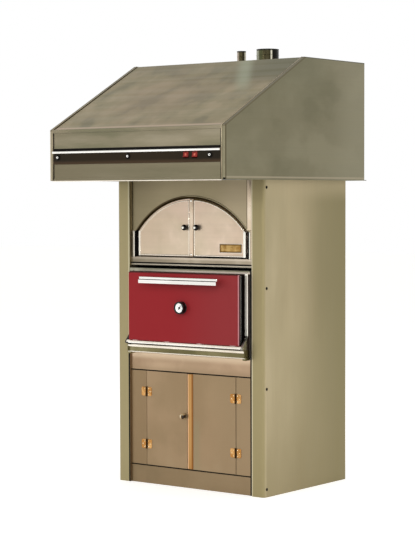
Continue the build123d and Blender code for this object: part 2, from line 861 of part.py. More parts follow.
def arched_leaf(side):
    """Return one arched door leaf, pan-shaped, with its hinge lugs."""
    gap = arch_split if side < 0 else 0
    inner = arch_split_x - gap
    with BuildPart() as leaf:
        with BuildSketch(Plane.XZ.offset(-leaf_face)):
            add(arch_inside(arch_gap))
            with Locations((0, leaf_low - arch_half)):
                Rectangle(4 * arch_half, 2 * arch_half, mode=Mode.SUBTRACT)
            with Locations((inner - side * arch_half, spring_z)):
                Rectangle(2 * arch_half, 4 * arch_half, mode=Mode.SUBTRACT)
        extrude(amount=-arch_door_thickness)
        offset(amount=-skin, openings=leaf.faces().sort_by(Axis.Y)[-1])
        for level in arch_lug_levels:
            lug_z = leaf_low + level + arch_lug_height + arch_lug_gap
            middle = lug_z + arch_lug_height / 2
            rod((side * arch_axis_x, arch_axis_y, middle), arch_knuckle, arch_lug_height, "Z")
            block((side * (leaf_half - bite), side * arch_axis_x),
                  (arch_axis_y - bite, arch_axis_y + arch_knuckle / 2),
                  (lug_z, lug_z + arch_lug_height))
            rod((side * arch_axis_x, arch_axis_y, middle),
                arch_pin_diameter + 2 * pivot_clearance, arch_lug_height + cut_past, "Z",
                Mode.SUBTRACT)
    return leaf


for side, name in ((-1, "left"), (1, "right")):
    save(arched_leaf(side), f"arch_door_{name}")
    arch_knob = ball_knob(side * arch_knob_places, leaf_low + arch_knob_level, leaf_face,
                          arch_knob_diameter, knob_reach + rose_thickness)
    save(arch_knob, f"arch_knob_{name}")

arch_radius = (arch_half ** 2 + arch_rise ** 2) / (2 * arch_rise) - arch_gap
arch_centre = apex_z - arch_radius - arch_gap
strip_top = arch_centre + math.sqrt(arch_radius ** 2 - (arch_strip_width / 2) ** 2)
with BuildPart() as arch_astragal:
    block((-arch_strip_width / 2, arch_strip_width / 2),
          (leaf_face - arch_strip_reach, leaf_face), (leaf_low, strip_top))
save(arch_astragal, "arch_astragal")

# Space behind the arched doors, and the flue that crosses it
warming_half = arch_half + warming_margin
warming_low = sill_high - skin
warming_high = apex_z + warming_head
warming_front = arch_face + skin
warming_back = warming_front + warming_depth
with BuildPart() as warming_box:
    block((-warming_half, warming_half), (warming_front, warming_back), (warming_low, warming_high))
    offset(amount=-skin, openings=warming_box.faces().sort_by(Axis.Y)[0])
    rod((0, flue_y, (warming_low + warming_high) / 2), flue_diameter + 2 * flue_clearance,
        warming_high, "Z", Mode.SUBTRACT)
save(warming_box, "warming_box")

flue_high = tower_height + flue_top
damper_z = sill_high + damper_level
with BuildPart() as flue_pipe:
    rod((0, flue_y, casing_top + flue_base_thickness / 2), flue_base_width, flue_base_thickness, "Z")
    rod((0, flue_y, (casing_top + flue_high) / 2), flue_diameter, flue_high - casing_top, "Z")
    rod((0, flue_y, (casing_top + flue_high) / 2), flue_diameter - 2 * flue_wall,
        flue_high - casing_top + cut_past, "Z", Mode.SUBTRACT)
    rod((0, flue_y, damper_z), shaft_diameter + 2 * pivot_clearance, 2 * flue_diameter, "Y",
        Mode.SUBTRACT)
save(flue_pipe, "flue_pipe")

with BuildPart() as flue_damper:
    disc = flue_diameter - 2 * (flue_wall + damper_clearance)
    rod((0, flue_y, damper_z), disc, damper_thickness, "X")
    shaft_front = flue_y - flue_diameter / 2 - lever_stand_off
    shaft_back = flue_y + flue_diameter / 2 + flue_wall
    rod((0, (shaft_front + shaft_back) / 2, damper_z), shaft_diameter, shaft_back - shaft_front, "Y")
    block((-shaft_diameter / 2, shaft_diameter / 2), (shaft_front - lever_thickness, shaft_front),
          (damper_z - lever_length, damper_z + shaft_diameter))
    rod((0, shaft_front - (lever_thickness + lever_knob_reach) / 2, damper_z - lever_length),
        lever_knob, lever_thickness + lever_knob_reach, "Y")
save(flue_damper, "flue_damper")

# Hood sides: pans whose flanges wrap the front, slope, top, back and lower edge
with BuildPart() as hood_side_right:
    with BuildSketch(Plane.YZ.offset(hood_half)):
        with BuildLine():
            Polyline(
                (hood_front, tower_height),
                crease_point(0),
                brow_point(0),
                (hood_back, hood_top_z),
                (hood_back, tower_height),
                close=True,
            )
        make_face()
    extrude(amount=-hood_flange)
    outer_edges = hood_side_right.faces().sort_by(Axis.X)[-1].edges()
    fillet(outer_edges.sort_by(Axis.Z)[1:], radius=hood_corner)
    offset(amount=-skin, openings=hood_side_right.faces().sort_by(Axis.X)[0])
save(hood_side_right, "hood_side_right")

with BuildPart() as hood_side_left:
    mirror(hood_side_right.part, about=Plane.YZ)
save(hood_side_left, "hood_side_left")

well_half_width = rocker_width / 2 + rocker_gap
tilt = math.radians(rocker_tilt)
well_half_height = (rocker_height / 2 * math.cos(tilt) + (rocker_depth + skin) * math.sin(tilt)
                    + rocker_gap)
strip_base = tower_height + strip_low
strip_face = hood_front + skin - strip_thickness
rocker_z = strip_base + fixing_level
rocker_y = strip_face + rocker_depth - rocker_reach
trunnion_reach = 2 * (well_half_width + well_wall - socket_floor)
well_back = rocker_y + rocker_height / 2


def hood_sheet(points, half):
    """Return a sheet with the given outline seen from the side, across the hood."""
    with BuildPart() as sheet:
        with BuildSketch(Plane.YZ.offset(-half)):
            with BuildLine():
                Polyline(*points, close=True)
            make_face()
        extrude(amount=2 * half)
    return sheet.part


with BuildPart() as hood_fascia:
    add(hood_sheet(((hood_front + skin, tower_top), crease_point(skin), crease_point(2 * skin),
                    (hood_front + 2 * skin, tower_top + skin),
                    (hood_front + hood_flange + hem_height, tower_top + skin),
                    (hood_front + hood_flange + hem_height, tower_top)), sheet_half))
    for low, high in ((tower_height, tower_height + hem_height), (crease - hem_height, crease)):
        block((-flange_half, flange_half), (hood_front, hood_front + skin), (low, high))
    for place in rocker_places:
        reach = well_wall + rocker_gap
        block((place - well_half_width - reach, place + well_half_width + reach),
              (hood_front, hood_front + 3 * skin),
              (rocker_z - well_half_height - reach, rocker_z + well_half_height + reach),
              Mode.SUBTRACT)
save(hood_fascia, "hood_fascia")

with BuildPart() as hood_slope:
    add(hood_sheet((crease_point(skin), brow_point(skin), brow_point(2 * skin),
                    crease_point(2 * skin)), sheet_half))
save(hood_slope, "hood_slope")

spigots = ((0, exhaust_diameter), (-conduit_offset, conduit_diameter))
with BuildPart() as hood_top:
    add(hood_sheet((brow_point(skin), (hood_back - skin, hood_top_z - skin),
                    (hood_back - 2 * skin, hood_top_z - 2 * skin), brow_point(2 * skin)),
                   sheet_half))
    for x, diameter in spigots:
        rod((x, spigot_y, hood_top_z), diameter - 2 * spigot_wall, 8 * skin, "Z", Mode.SUBTRACT)
save(hood_top, "hood_top")

with BuildPart() as hood_back_panel:
    add(hood_sheet(((hood_back - skin, hood_top_z - skin), (hood_back - skin, tower_top),
                    (hood_back - 2 * skin, tower_top),
                    (hood_back - 2 * skin, hood_top_z - 2 * skin)), sheet_half))
    lip_z = (tower_height, tower_height + back_lip_height)
    inside_half = flange_half - skin
    block((-inside_half, inside_half), (hood_back - 2 * skin, hood_back), lip_z)
    block((-hood_half, hood_half), (hood_back, hood_back + back_lip), lip_z)
save(hood_back_panel, "hood_back")

# Soffit: closes the hood over the tower, and its channel carries the grease filters
channel_y = front + skin
with BuildPart() as hood_soffit:
    block((-sheet_half, sheet_half), (front, hood_back - 2 * skin), (tower_top, tower_top + skin))
    for low in (front, channel_y + filter_thickness + 2 * filter_clearance):
        block((-sheet_half, sheet_half), (low, low + skin),
              (tower_top + skin, tower_top + channel_height))
    rod((0, flue_y, tower_top), flue_diameter + 2 * flue_clearance, 8 * skin, "Z", Mode.SUBTRACT)
save(hood_soffit, "hood_soffit")

filter_y = channel_y + filter_clearance
filter_low = tower_top + skin
filter_width = (2 * sheet_half - (filter_count + 1) * filter_gap) / filter_count
filter_high = crease + (filter_y - hood_front) * slope_tan - 2 * skin / slope_cos - filter_clearance / 2
with BuildPart() as grease_filters:
    with Locations((0, filter_y + filter_thickness / 2, (filter_low + filter_high) / 2)):
        with GridLocations(filter_width + filter_gap, 0, filter_count, 1):
            Box(filter_width, filter_thickness, filter_high - filter_low)
        slot_height = filter_high - filter_low - 2 * filter_border
        slot_pitch = (filter_width - 2 * filter_border + filter_bar) / filter_slots
        with GridLocations(filter_width + filter_gap, 0, filter_count, 1):
            with GridLocations(slot_pitch, 0, filter_slots, 1):
                Box(slot_pitch - filter_bar, filter_thickness, slot_height, mode=Mode.SUBTRACT)
save(grease_filters, "grease_filters")


def spigot(x, diameter, height):
    """Return a round spigot with a flange that sits on the hood's top sheet."""
    base = hood_top_z - skin
    with BuildPart() as pipe:
        rod((x, spigot_y, base + skin / 2), diameter + 2 * spigot_flange, skin, "Z")
        rod((x, spigot_y, base + (height + skin) / 2), diameter, height + skin, "Z")
        rod((x, spigot_y, base + (height + skin) / 2), diameter - 2 * spigot_wall,
            height + 2 * skin, "Z", Mode.SUBTRACT)
    return pipe


save(spigot(0, exhaust_diameter, exhaust_height), "exhaust_spigot")
save(spigot(-conduit_offset, conduit_diameter, conduit_height), "conduit_spigot")

# Control strip with its rail, fixings and rocker switches
with BuildPart() as control_strip:
    block((-strip_half, strip_half), (strip_face, strip_face + strip_thickness),
          (strip_base, strip_base + strip_height))
    for place in rocker_places:
        block((place - well_half_width - well_wall, place + well_half_width + well_wall),
              (strip_face, well_back + well_wall),
              (rocker_z - well_half_height - well_wall, rocker_z + well_half_height + well_wall))
    for place in rocker_places:
        block((place - well_half_width, place + well_half_width), (strip_face, well_back),
              (rocker_z - well_half_height, rocker_z + well_half_height), Mode.SUBTRACT)
        rod((place, rocker_y, rocker_z), trunnion_diameter + 2 * pivot_clearance,
            trunnion_reach, "X", Mode.SUBTRACT)
save(control_strip, "control_strip")

rail_z = strip_base + rail_level
with BuildPart() as control_rail:
    with BuildSketch(Plane.YZ.offset(-strip_half)):
        with Locations((strip_face, rail_z)):
            Ellipse(rail_reach, rail_height / 2)
        with Locations((strip_face + rail_reach, rail_z)):
            Rectangle(2 * rail_reach, 2 * rail_height, mode=Mode.SUBTRACT)
    extrude(amount=2 * strip_half)
save(control_rail, "control_rail")

with BuildPart() as strip_fixings:
    for place in fixing_places:
        rod((place, strip_face - fixing_reach / 4, rocker_z), fixing_diameter, fixing_reach / 2, "Y")
        rod((place, strip_face - fixing_reach / 2, rocker_z), fixing_dome, fixing_reach, "Y")
    fillet(strip_fixings.faces().filter_by(Axis.Y).group_by(Axis.Y)[0].edges(), radius=fixing_reach / 4)
save(strip_fixings, "strip_fixings")


def rocker(place):
    """Return one rocker, tipped to its rest side, with trunnions at both ends."""
    half = rocker_height / 2
    with BuildPart() as key:
        with BuildSketch(Plane.YZ.offset(place - rocker_width / 2)):
            with Locations(Location((rocker_y, rocker_z), -rocker_tilt)):
                Polygon((-rocker_depth, 0), (-rocker_depth - skin, half), (-half / 2, half),
                        (half / 2, half / 2), (half / 2, -half / 2), (-half / 2, -half),
                        (-rocker_depth - skin, -half), align=None)
        extrude(amount=rocker_width)
        rod((place, rocker_y, rocker_z), trunnion_diameter, trunnion_reach - 2 * socket_floor, "X")
    return key


for place, name in zip(rocker_places, ("left", "right")):
    save(rocker(place), f"rocker_{name}")
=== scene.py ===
"""Looks of a charcoal oven with a hood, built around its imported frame."""
from __future__ import annotations

import logging
import math
from dataclasses import dataclass, field
from enum import Enum

import bmesh
import bpy
import numpy as np
from mathutils import Matrix, Vector

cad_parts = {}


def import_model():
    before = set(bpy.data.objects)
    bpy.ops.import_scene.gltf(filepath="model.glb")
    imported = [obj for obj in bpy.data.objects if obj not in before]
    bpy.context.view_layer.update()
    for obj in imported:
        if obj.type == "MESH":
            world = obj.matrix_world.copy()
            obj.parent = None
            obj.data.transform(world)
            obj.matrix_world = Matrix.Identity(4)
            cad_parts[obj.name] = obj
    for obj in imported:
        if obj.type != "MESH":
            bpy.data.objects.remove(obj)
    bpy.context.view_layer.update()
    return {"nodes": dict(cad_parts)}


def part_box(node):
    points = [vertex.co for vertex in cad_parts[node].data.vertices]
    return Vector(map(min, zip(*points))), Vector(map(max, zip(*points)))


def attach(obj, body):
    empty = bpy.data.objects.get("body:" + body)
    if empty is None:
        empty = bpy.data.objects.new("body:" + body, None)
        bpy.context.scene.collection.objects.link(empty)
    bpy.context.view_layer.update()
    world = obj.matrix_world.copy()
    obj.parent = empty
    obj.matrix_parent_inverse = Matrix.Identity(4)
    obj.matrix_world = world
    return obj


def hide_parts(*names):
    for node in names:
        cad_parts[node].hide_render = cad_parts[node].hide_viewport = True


log = logging.getLogger("charcoal_oven")

Colour = tuple[int, int, int]
Pair = tuple[float, float]
Point = tuple[float, float, float]
MM = 0.001
CABINET = "cabinet"
FINE_GRAIN = (420.0, 3.0)
BROAD_GRAIN = (34.0, 0.7)


class Axis(Enum):
    """One of the three directions of the row frame."""

    X = 0
    Y = 1
    Z = 2


# Helpers for node trees


def linear(colour: Colour, alpha: float = 1.0) -> tuple[float, float, float, float]:
    """Turn a display colour into the linear one that sockets hold.

    Args:
        colour: red, green and blue from 0 to 255.
        alpha: opacity.

    Returns:
        Linear red, green, blue and alpha: the display value to the power of about 2.2, by the sRGB formula.
    """
    parts = []
    for level in colour:
        value = level / 255
        parts.append(value / 12.92 if value <= 0.04045 else ((value + 0.055) / 1.055) ** 2.4)
    return (*parts, alpha)


class Graph:
    """Short calls that add nodes to a tree and join them."""

    def __init__(self, tree: bpy.types.NodeTree) -> None:
        """Keep the tree that the calls work on."""
        self.tree = tree

    def node(self, kind: str, **settings: object) -> bpy.types.Node:
        """Add a node.

        Args:
            kind: the node's type name.
            settings: attributes to set on it.

        Returns:
            The new node.
        """
        made = self.tree.nodes.new(kind)
        for key, value in settings.items():
            setattr(made, key, value)
        return made

    def feed(self, target: bpy.types.NodeSocket, value: object) -> None:
        """Link a socket to an input, or set the input to a plain value.

        Args:
            target: the input socket.
            value: another node's output, a number, or a colour or vector.
        """
        if isinstance(value, bpy.types.NodeSocket):
            self.tree.links.new(value, target)
        else:
            target.default_value = value

    def math(self, operation: str, first: object, second: object = 0.0,
             clamp: bool = False) -> bpy.types.NodeSocket:
        """Add a Math node.

        Args:
            operation: what it does.
            first: first value or socket.
            second: second value or socket.
            clamp: keep the result between 0 and 1.

        Returns:
            The result's socket.
        """
        made = self.node("ShaderNodeMath", operation=operation, use_clamp=clamp)
        self.feed(made.inputs[0], first)
        self.feed(made.inputs[1], second)
        return made.outputs[0]

    def mix(self, mask: object, first: object, second: object, blend: str = "MIX") -> bpy.types.NodeSocket:
        """Mix two colours.

        Args:
            mask: share of the second colour.
            first: first colour.
            second: second colour.
            blend: how they are mixed.

        Returns:
            The mixed colour's socket.
        """
        made = self.node("ShaderNodeMix", data_type="RGBA", blend_type=blend)
        self.feed(made.inputs[0], mask)
        self.feed(made.inputs[6], first)
        self.feed(made.inputs[7], second)
        return made.outputs[2]

    def spread(self, value: object, start: float, end: float, low: float = 0.0,
               high: float = 1.0) -> bpy.types.NodeSocket:
        """Map a value smoothly from one range to another, held at both ends.

        Args:
            value: the value or socket.
            start: value that gives low.
            end: value that gives high.
            low: result at start.
            high: result at end.

        Returns:
            The result's socket.
        """
        made = self.node("ShaderNodeMapRange", interpolation_type="SMOOTHSTEP")
        for index, part in enumerate((value, start, end, low, high)):
            self.feed(made.inputs[index], part)
        return made.outputs[0]

    def noise(self, vector: object, scale: float, detail: float = 2.0,
              warp: float = 0.0) -> bpy.types.NodeSocket:
        """Add a noise texture.

        Args:
            vector: where it is read.
            scale: how fine it is.
            detail: how many finer layers it adds.
            warp: how much it distorts itself.

        Returns:
            The noise value's socket.
        """
        made = self.node("ShaderNodeTexNoise", noise_dimensions="3D")
        self.feed(made.inputs["Vector"], vector)
        self.feed(made.inputs["Scale"], scale)
        self.feed(made.inputs["Detail"], detail)
        self.feed(made.inputs["Distortion"], warp)
        return made.outputs[0]

    def place(self) -> bpy.types.NodeSocket:
        """Return the socket that gives the place on the object."""
        return self.node("ShaderNodeTexCoord").outputs["Object"]

    def along(self, vector: object, axis: Axis) -> bpy.types.NodeSocket:
        """Return one coordinate of a vector."""
        made = self.node("ShaderNodeSeparateXYZ")
        self.feed(made.inputs[0], vector)
        return made.outputs[axis.value]

    def stretch(self, vector: object, factors: object) -> bpy.types.NodeSocket:
        """Return a vector multiplied by factors, coordinate by coordinate."""
        made = self.node("ShaderNodeVectorMath", operation="MULTIPLY")
        self.feed(made.inputs[0], vector)
        self.feed(made.inputs[1], factors)
        return made.outputs[0]

    def dot(self, first: object, second: object) -> bpy.types.NodeSocket:
        """Return the dot product of two vectors."""
        made = self.node("ShaderNodeVectorMath", operation="DOT_PRODUCT")
        self.feed(made.inputs[0], first)
        self.feed(made.inputs[1], second)
        return made.outputs["Value"]

    def raise_bump(self, shader: bpy.types.Node, height: object, strength: float,
                   normal: object = None) -> None:
        """Lay fine relief on a shader.

        Args:
            shader: the shader whose normal it turns.
            height: the relief's height.
            strength: how strongly it shows.
            normal: the normal that it starts from, if not the surface's own.
        """
        bump = self.node("ShaderNodeBump")
        bump.inputs["Strength"].default_value = strength
        bump.inputs["Distance"].default_value = 1 * MM
        self.feed(bump.inputs["Height"], height)
        if normal is not None:
            self.feed(bump.inputs["Normal"], normal)
        self.feed(shader.inputs["Normal"], bump.outputs[0])


def new_group(name: str, inputs: dict[str, object], outputs: dict[str, str]) -> tuple[Graph, object, object]:
    """Make an empty shader node group.

    Args:
        name: the group's name.
        inputs: default value of each input, a number or three numbers.
        outputs: socket type of each output.

    Returns:
        The group's graph and its input and output nodes.
    """
    tree = bpy.data.node_groups.new(name, "ShaderNodeTree")
    for label, value in inputs.items():
        kind = "NodeSocketVector" if isinstance(value, tuple) else "NodeSocketFloat"
        socket = tree.interface.new_socket(label, in_out="INPUT", socket_type=kind)
        socket.default_value = value
    for label, kind in outputs.items():
        tree.interface.new_socket(label, in_out="OUTPUT", socket_type=kind)
    graph = Graph(tree)
    return graph, graph.node("NodeGroupInput"), graph.node("NodeGroupOutput")


def grain_group() -> bpy.types.NodeTree:
    """Build the brushed grain: two noises drawn out along one direction.

    Returns:
        The group, with a mask of fine strokes, one of broad strokes and a height.
    """
    graph, given, out = new_group("brushed_grain", {"Fine": (1.0, 1.0, 1.0), "Broad": (1.0, 1.0, 1.0)},
                                  {"Strokes": "NodeSocketFloat", "Bands": "NodeSocketFloat",
                                   "Height": "NodeSocketFloat"})
    place = graph.place()
    strokes = graph.noise(graph.stretch(place, given.outputs["Fine"]), 1.0, 3.0)
    bands = graph.noise(graph.stretch(place, given.outputs["Broad"]), 1.0, 2.0)
    graph.feed(out.inputs["Strokes"], strokes)
    graph.feed(out.inputs["Bands"], graph.spread(bands, 0.3, 0.7))
    graph.feed(out.inputs["Height"], graph.math("ADD", strokes, graph.math("MULTIPLY", bands, 0.3)))
    return graph.tree


def cloud_group() -> bpy.types.NodeTree:
    """Build the cloudy patina: a warped noise under a slower one.

    Returns:
        The group, with a mask of clouds and a mask of large stains.
    """
    graph, given, out = new_group("cloudy_patina", {"Stretch": (1.0, 1.0, 1.0), "Size": 4.0},
                                  {"Clouds": "NodeSocketFloat", "Stains": "NodeSocketFloat"})
    place = graph.stretch(graph.place(), given.outputs["Stretch"])
    size = given.outputs["Size"]
    clouds = graph.noise(place, size, 4.0, 0.15)
    stains = graph.noise(place, graph.math("MULTIPLY", size, 0.37), 2.0, 0.2)
    graph.feed(out.inputs["Clouds"], graph.spread(clouds, 0.28, 0.72))
    graph.feed(out.inputs["Stains"], graph.spread(stains, 0.38, 0.64))
    return graph.tree


def edge_group() -> bpy.types.NodeTree:
    """Build the edge mask, for wear and painted highlights: where the rounded normal leaves the flat one.

    Returns:
        The group, with a mask of the edges and the rounded normal.
    """
    graph, given, out = new_group("rounded_edges", {"Radius": 0.002},
                                  {"Edge": "NodeSocketFloat", "Normal": "NodeSocketVector"})
    rounded = graph.node("ShaderNodeBevel", samples=4)
    graph.feed(rounded.inputs["Radius"], given.outputs["Radius"])
    flat = graph.node("ShaderNodeNewGeometry")
    match = graph.dot(rounded.outputs[0], flat.outputs["Normal"])
    graph.feed(out.inputs["Edge"], graph.spread(match, 0.995, 0.8))
    graph.feed(out.inputs["Normal"], rounded.outputs[0])
    return graph.tree


class Groups:
    """The shader node groups that the finishes share, each built once."""

    grain: bpy.types.NodeTree
    cloud: bpy.types.NodeTree
    edge: bpy.types.NodeTree

    @classmethod
    def build(cls) -> None:
        """Build the three groups."""
        cls.grain, cls.cloud, cls.edge = grain_group(), cloud_group(), edge_group()

    @staticmethod
    def use(graph: Graph, tree: bpy.types.NodeTree, **values: object) -> bpy.types.Node:
        """Place a group in a material.

        Args:
            graph: the material's graph.
            tree: the group.
            values: values of its inputs, by name.

        Returns:
            The group's node.
        """
        node = graph.node("ShaderNodeGroup", node_tree=tree)
        for label, value in values.items():
            graph.feed(node.inputs[label], value)
        return node


# Finishes


@dataclass(frozen=True)
class Span:
    """A smooth step along a direction: nothing up to start, all of it from end on."""

    direction: Point
    start: float
    end: float


def along_x(start: float, end: float) -> Span:
    """Return a step along X."""
    return Span((1.0, 0.0, 0.0), start, end)


def along_y(start: float, end: float) -> Span:
    """Return a step along Y."""
    return Span((0.0, 1.0, 0.0), start, end)


def along_z(start: float, end: float) -> Span:
    """Return a step along Z."""
    return Span((0.0, 0.0, 1.0), start, end)


def across_spigots(start: float, end: float) -> Span:
    """Return a step across both spigots, to the right and backwards."""
    return Span((0.794, 0.608, 0.0), start, end)


@dataclass(frozen=True)
class Shade:
    """A region of a surface, where all of its spans meet, that has another colour."""

    colour: Colour
    amount: float
    spans: tuple[Span, ...]


def shade(colour: Colour, amount: float, *spans: Span) -> Shade:
    """Return a shaded region that lies where all of its spans meet."""
    return Shade(colour, amount, spans)


def add_shades(graph: Graph, colour: object, shades: tuple[Shade, ...]) -> object:
    """Lay shaded regions over a colour.

    Args:
        graph: the material's graph.
        colour: the colour below.
        shades: the regions, each laid over the one before.

    Returns:
        The socket of the shaded colour. Each region's mask is its amount times one smooth step for each
        span, taken along the dot product of the place and the span's direction.
    """
    place = graph.place()
    for region in shades:
        mask: object = region.amount
        for span in region.spans:
            reach = graph.dot(place, span.direction)
            mask = graph.math("MULTIPLY", mask, graph.spread(reach, span.start, span.end))
        colour = graph.mix(mask, colour, linear(region.colour))
    return colour


@dataclass(frozen=True)
class Sheet:
    """Brushed sheet metal: cloudy patina, edges lighter by wear and painted highlight, shaded regions."""

    name: str
    colour: Colour
    dark: Colour
    light: Colour
    stain: Colour
    strokes: Axis = Axis.X
    roughness: float = 0.42
    metallic: float = 0.85
    cloud_size: float = 4.0
    cloud_stretch: tuple[float, float, float] = (1.0, 1.0, 1.0)
    stain_amount: float = 0.5
    grain: float = 0.10
    bump: float = 0.06
    edge_radius: float = 0.0025
    edge_light: float = 0.35
    shades: tuple[Shade, ...] = ()

    def build(self) -> bpy.types.Material:
        """Build the material.

        The colour runs from dark to light with the clouds, leans to the stain colour in the stains, takes
        each region's shade, and is then darkened or lightened by the strokes of the grain. The grain's two
        scales are given across and along its strokes.

        Returns:
            The material.
        """
        material, graph, shader = new_material(self.name)
        fine, broad = (tuple(along if axis is self.strokes else across for axis in Axis)
                       for across, along in (FINE_GRAIN, BROAD_GRAIN))
        grain = Groups.use(graph, Groups.grain, Fine=fine, Broad=broad)
        cloud = Groups.use(graph, Groups.cloud, Stretch=self.cloud_stretch, Size=self.cloud_size)
        edge = Groups.use(graph, Groups.edge, Radius=self.edge_radius)
        clouds = cloud.outputs["Clouds"]
        colour = graph.mix(graph.spread(clouds, 0.0, 0.5), linear(self.dark), linear(self.colour))
        colour = graph.mix(graph.spread(clouds, 0.5, 1.0), colour, linear(self.light))
        stains = graph.math("MULTIPLY", cloud.outputs["Stains"], self.stain_amount)
        colour = graph.mix(stains, colour, linear(self.stain))
        colour = add_shades(graph, colour, self.shades)
        level = graph.math("ADD", graph.math("MULTIPLY", grain.outputs["Strokes"], self.grain),
                           graph.math("MULTIPLY", grain.outputs["Bands"], self.grain * 0.5))
        level = graph.math("ADD", level, 1.0 - self.grain * 0.75)
        scaled = graph.node("ShaderNodeVectorMath", operation="SCALE")
        graph.feed(scaled.inputs[0], colour)
        graph.feed(scaled.inputs["Scale"], level)
        # Edges lighten towards the light colour: partly wear, partly a painted highlight
        edge_blend = graph.math("MULTIPLY", edge.outputs["Edge"], self.edge_light)
        colour = graph.mix(edge_blend, scaled.outputs[0], linear(self.light))
        graph.feed(shader.inputs["Base Color"], colour)
        rough = graph.math("ADD", self.roughness - 0.04, graph.math("MULTIPLY", grain.outputs["Bands"], 0.08))
        graph.feed(shader.inputs["Roughness"], rough)
        shader.inputs["Metallic"].default_value = self.metallic
        graph.raise_bump(shader, grain.outputs["Height"], self.bump, edge.outputs["Normal"])
        return material


@dataclass(frozen=True)
class Gloss:
    """A smooth or nearly smooth finish: polished metal, paint, enamel or plastic."""

    name: str
    colour: Colour
    second: Colour
    roughness: float
    metallic: float = 0.0
    coat: float = 0.0
    shine: float = 0.5
    mottle: float = 5.0
    wear: float = 0.0
    wear_colour: Colour = (120, 116, 106)
    smear: float = 0.06
    bump: float = 0.02
    bump_size: float = 300.0
    edge_radius: float = 0.0015
    glow: float = 0.0
    shades: tuple[Shade, ...] = ()

    def build(self) -> bpy.types.Material:
        """Build the material.

        Two close colours drift into each other, the gloss is broken by soft smears, and worn edges show
        the metal below.

        Returns:
            The material.
        """
        material, graph, shader = new_material(self.name)
        cloud = Groups.use(graph, Groups.cloud, Size=self.mottle)
        edge = Groups.use(graph, Groups.edge, Radius=self.edge_radius)
        colour = graph.mix(cloud.outputs["Stains"], linear(self.colour), linear(self.second))
        colour = add_shades(graph, colour, self.shades)
        place = graph.place()
        if self.wear:
            speckle = graph.spread(graph.noise(place, 90.0, 4.0), 0.45, 0.7)
            edge_blend = graph.math("MULTIPLY", graph.math("MULTIPLY", edge.outputs["Edge"], speckle), self.wear)
            colour = graph.mix(edge_blend, colour, linear(self.wear_colour))
        graph.feed(shader.inputs["Base Color"], colour)
        smears = graph.math("MULTIPLY", cloud.outputs["Clouds"], self.smear)
        graph.feed(shader.inputs["Roughness"], graph.math("ADD", smears, self.roughness))
        shader.inputs["Metallic"].default_value = self.metallic
        shader.inputs["Specular IOR Level"].default_value = self.shine
        shader.inputs["Coat Weight"].default_value = self.coat
        shader.inputs["Coat Roughness"].default_value = 0.06
        shader.inputs["Emission Color"].default_value = linear(self.colour)
        shader.inputs["Emission Strength"].default_value = self.glow
        graph.raise_bump(shader, graph.noise(place, self.bump_size, 3.0), self.bump, edge.outputs["Normal"])
        return material


@dataclass(frozen=True)
class Clear:
    """Thin clear glass with a few faint smears, which lets light through to what it covers."""

    name: str
    haze: float = 0.03
    roughness: float = 0.02
    smear: float = 0.03

    def build(self) -> bpy.types.Material:
        """Build the material, nearly see-through and a little less so in the smears, and return it."""
        material, graph, shader = new_material(self.name)
        cloud = Groups.use(graph, Groups.cloud, Size=60.0)
        smears = graph.math("MULTIPLY", cloud.outputs["Clouds"], self.smear)
        graph.feed(shader.inputs["Alpha"], graph.math("ADD", smears, self.haze))
        graph.feed(shader.inputs["Roughness"], graph.math("ADD", smears, self.roughness))
        shader.inputs["IOR"].default_value = 1.45
        return material


@dataclass(frozen=True)
class Rope:
    """Braided gasket rope, whose strands follow the piece's own UV map."""

    name: str
    colour: Colour
    light: Colour
    strands: float = 220.0
    turns: int = 3

    def build(self) -> bpy.types.Material:
        """Build the material, whose plaits are two crossing sets of diagonal waves, and return it."""
        material, graph, shader = new_material(self.name)
        uv = graph.node("ShaderNodeUVMap", uv_map="run").outputs[0]
        along = graph.math("MULTIPLY", graph.along(uv, Axis.X), self.strands)
        around = graph.math("MULTIPLY", graph.along(uv, Axis.Y), 2 * math.pi * self.turns)
        left = graph.math("SINE", graph.math("ADD", along, around))
        right = graph.math("SINE", graph.math("SUBTRACT", along, around))
        plait = graph.math("MAXIMUM", left, right)
        graph.feed(shader.inputs["Base Color"], graph.mix(graph.spread(plait, -0.2, 1.0), linear(self.colour),
                                                          linear(self.light)))
        shader.inputs["Roughness"].default_value = 0.9
        graph.raise_bump(shader, plait, 0.6)
        return material


def new_material(name: str) -> tuple[bpy.types.Material, Graph, bpy.types.Node]:
    """Make a material.

    Args:
        name: its name.

    Returns:
        The material, its graph and its shader.
    """
    material = bpy.data.materials.new(name)
    material.use_nodes = True
    graph = Graph(material.node_tree)
    return material, graph, material.node_tree.nodes["Principled BSDF"]


# Helpers for shapes


def in_mm(points: list[Pair], start: Pair = (0.0, 0.0)) -> np.ndarray:
    """Turn flat points in millimetres into metres.

    Args:
        points: the points, in millimetres from the start.
        start: where they are measured from, in metres.

    Returns:
        Rows of two coordinates in metres.
    """
    return np.array(points) * MM + start


def middle_of(name: str) -> Point:
    """Return the middle of a CAD node's box."""
    low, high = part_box(name)
    return ((low.x + high.x) / 2, (low.y + high.y) / 2, (low.z + high.z) / 2)


def upright(flat: np.ndarray, centre: Point) -> np.ndarray:
    """Stand a flat outline up, so that it faces the front.

    Args:
        flat: rows of the distance to the right and the distance up.
        centre: where both are zero.

    Returns:
        Rows of x, y and z.
    """
    return np.stack([centre[0] + flat[:, 0], np.full(len(flat), centre[1]), centre[2] + flat[:, 1]], axis=-1)


def arc(centre: Pair, wide: float, high: float, start: float, end: float, steps: int) -> np.ndarray:
    """Work out an arc of an ellipse.

    Args:
        centre: its middle.
        wide: half of the ellipse's first axis.
        high: half of its second axis.
        start: angle of the first point, in degrees.
        end: angle of the last point.
        steps: number of points.

    Returns:
        Rows of two coordinates: the centre plus wide times the cosine and high times the sine.
    """
    turn = np.radians(np.linspace(start, end, steps))
    return np.stack([centre[0] + wide * np.cos(turn), centre[1] + high * np.sin(turn)], axis=-1)


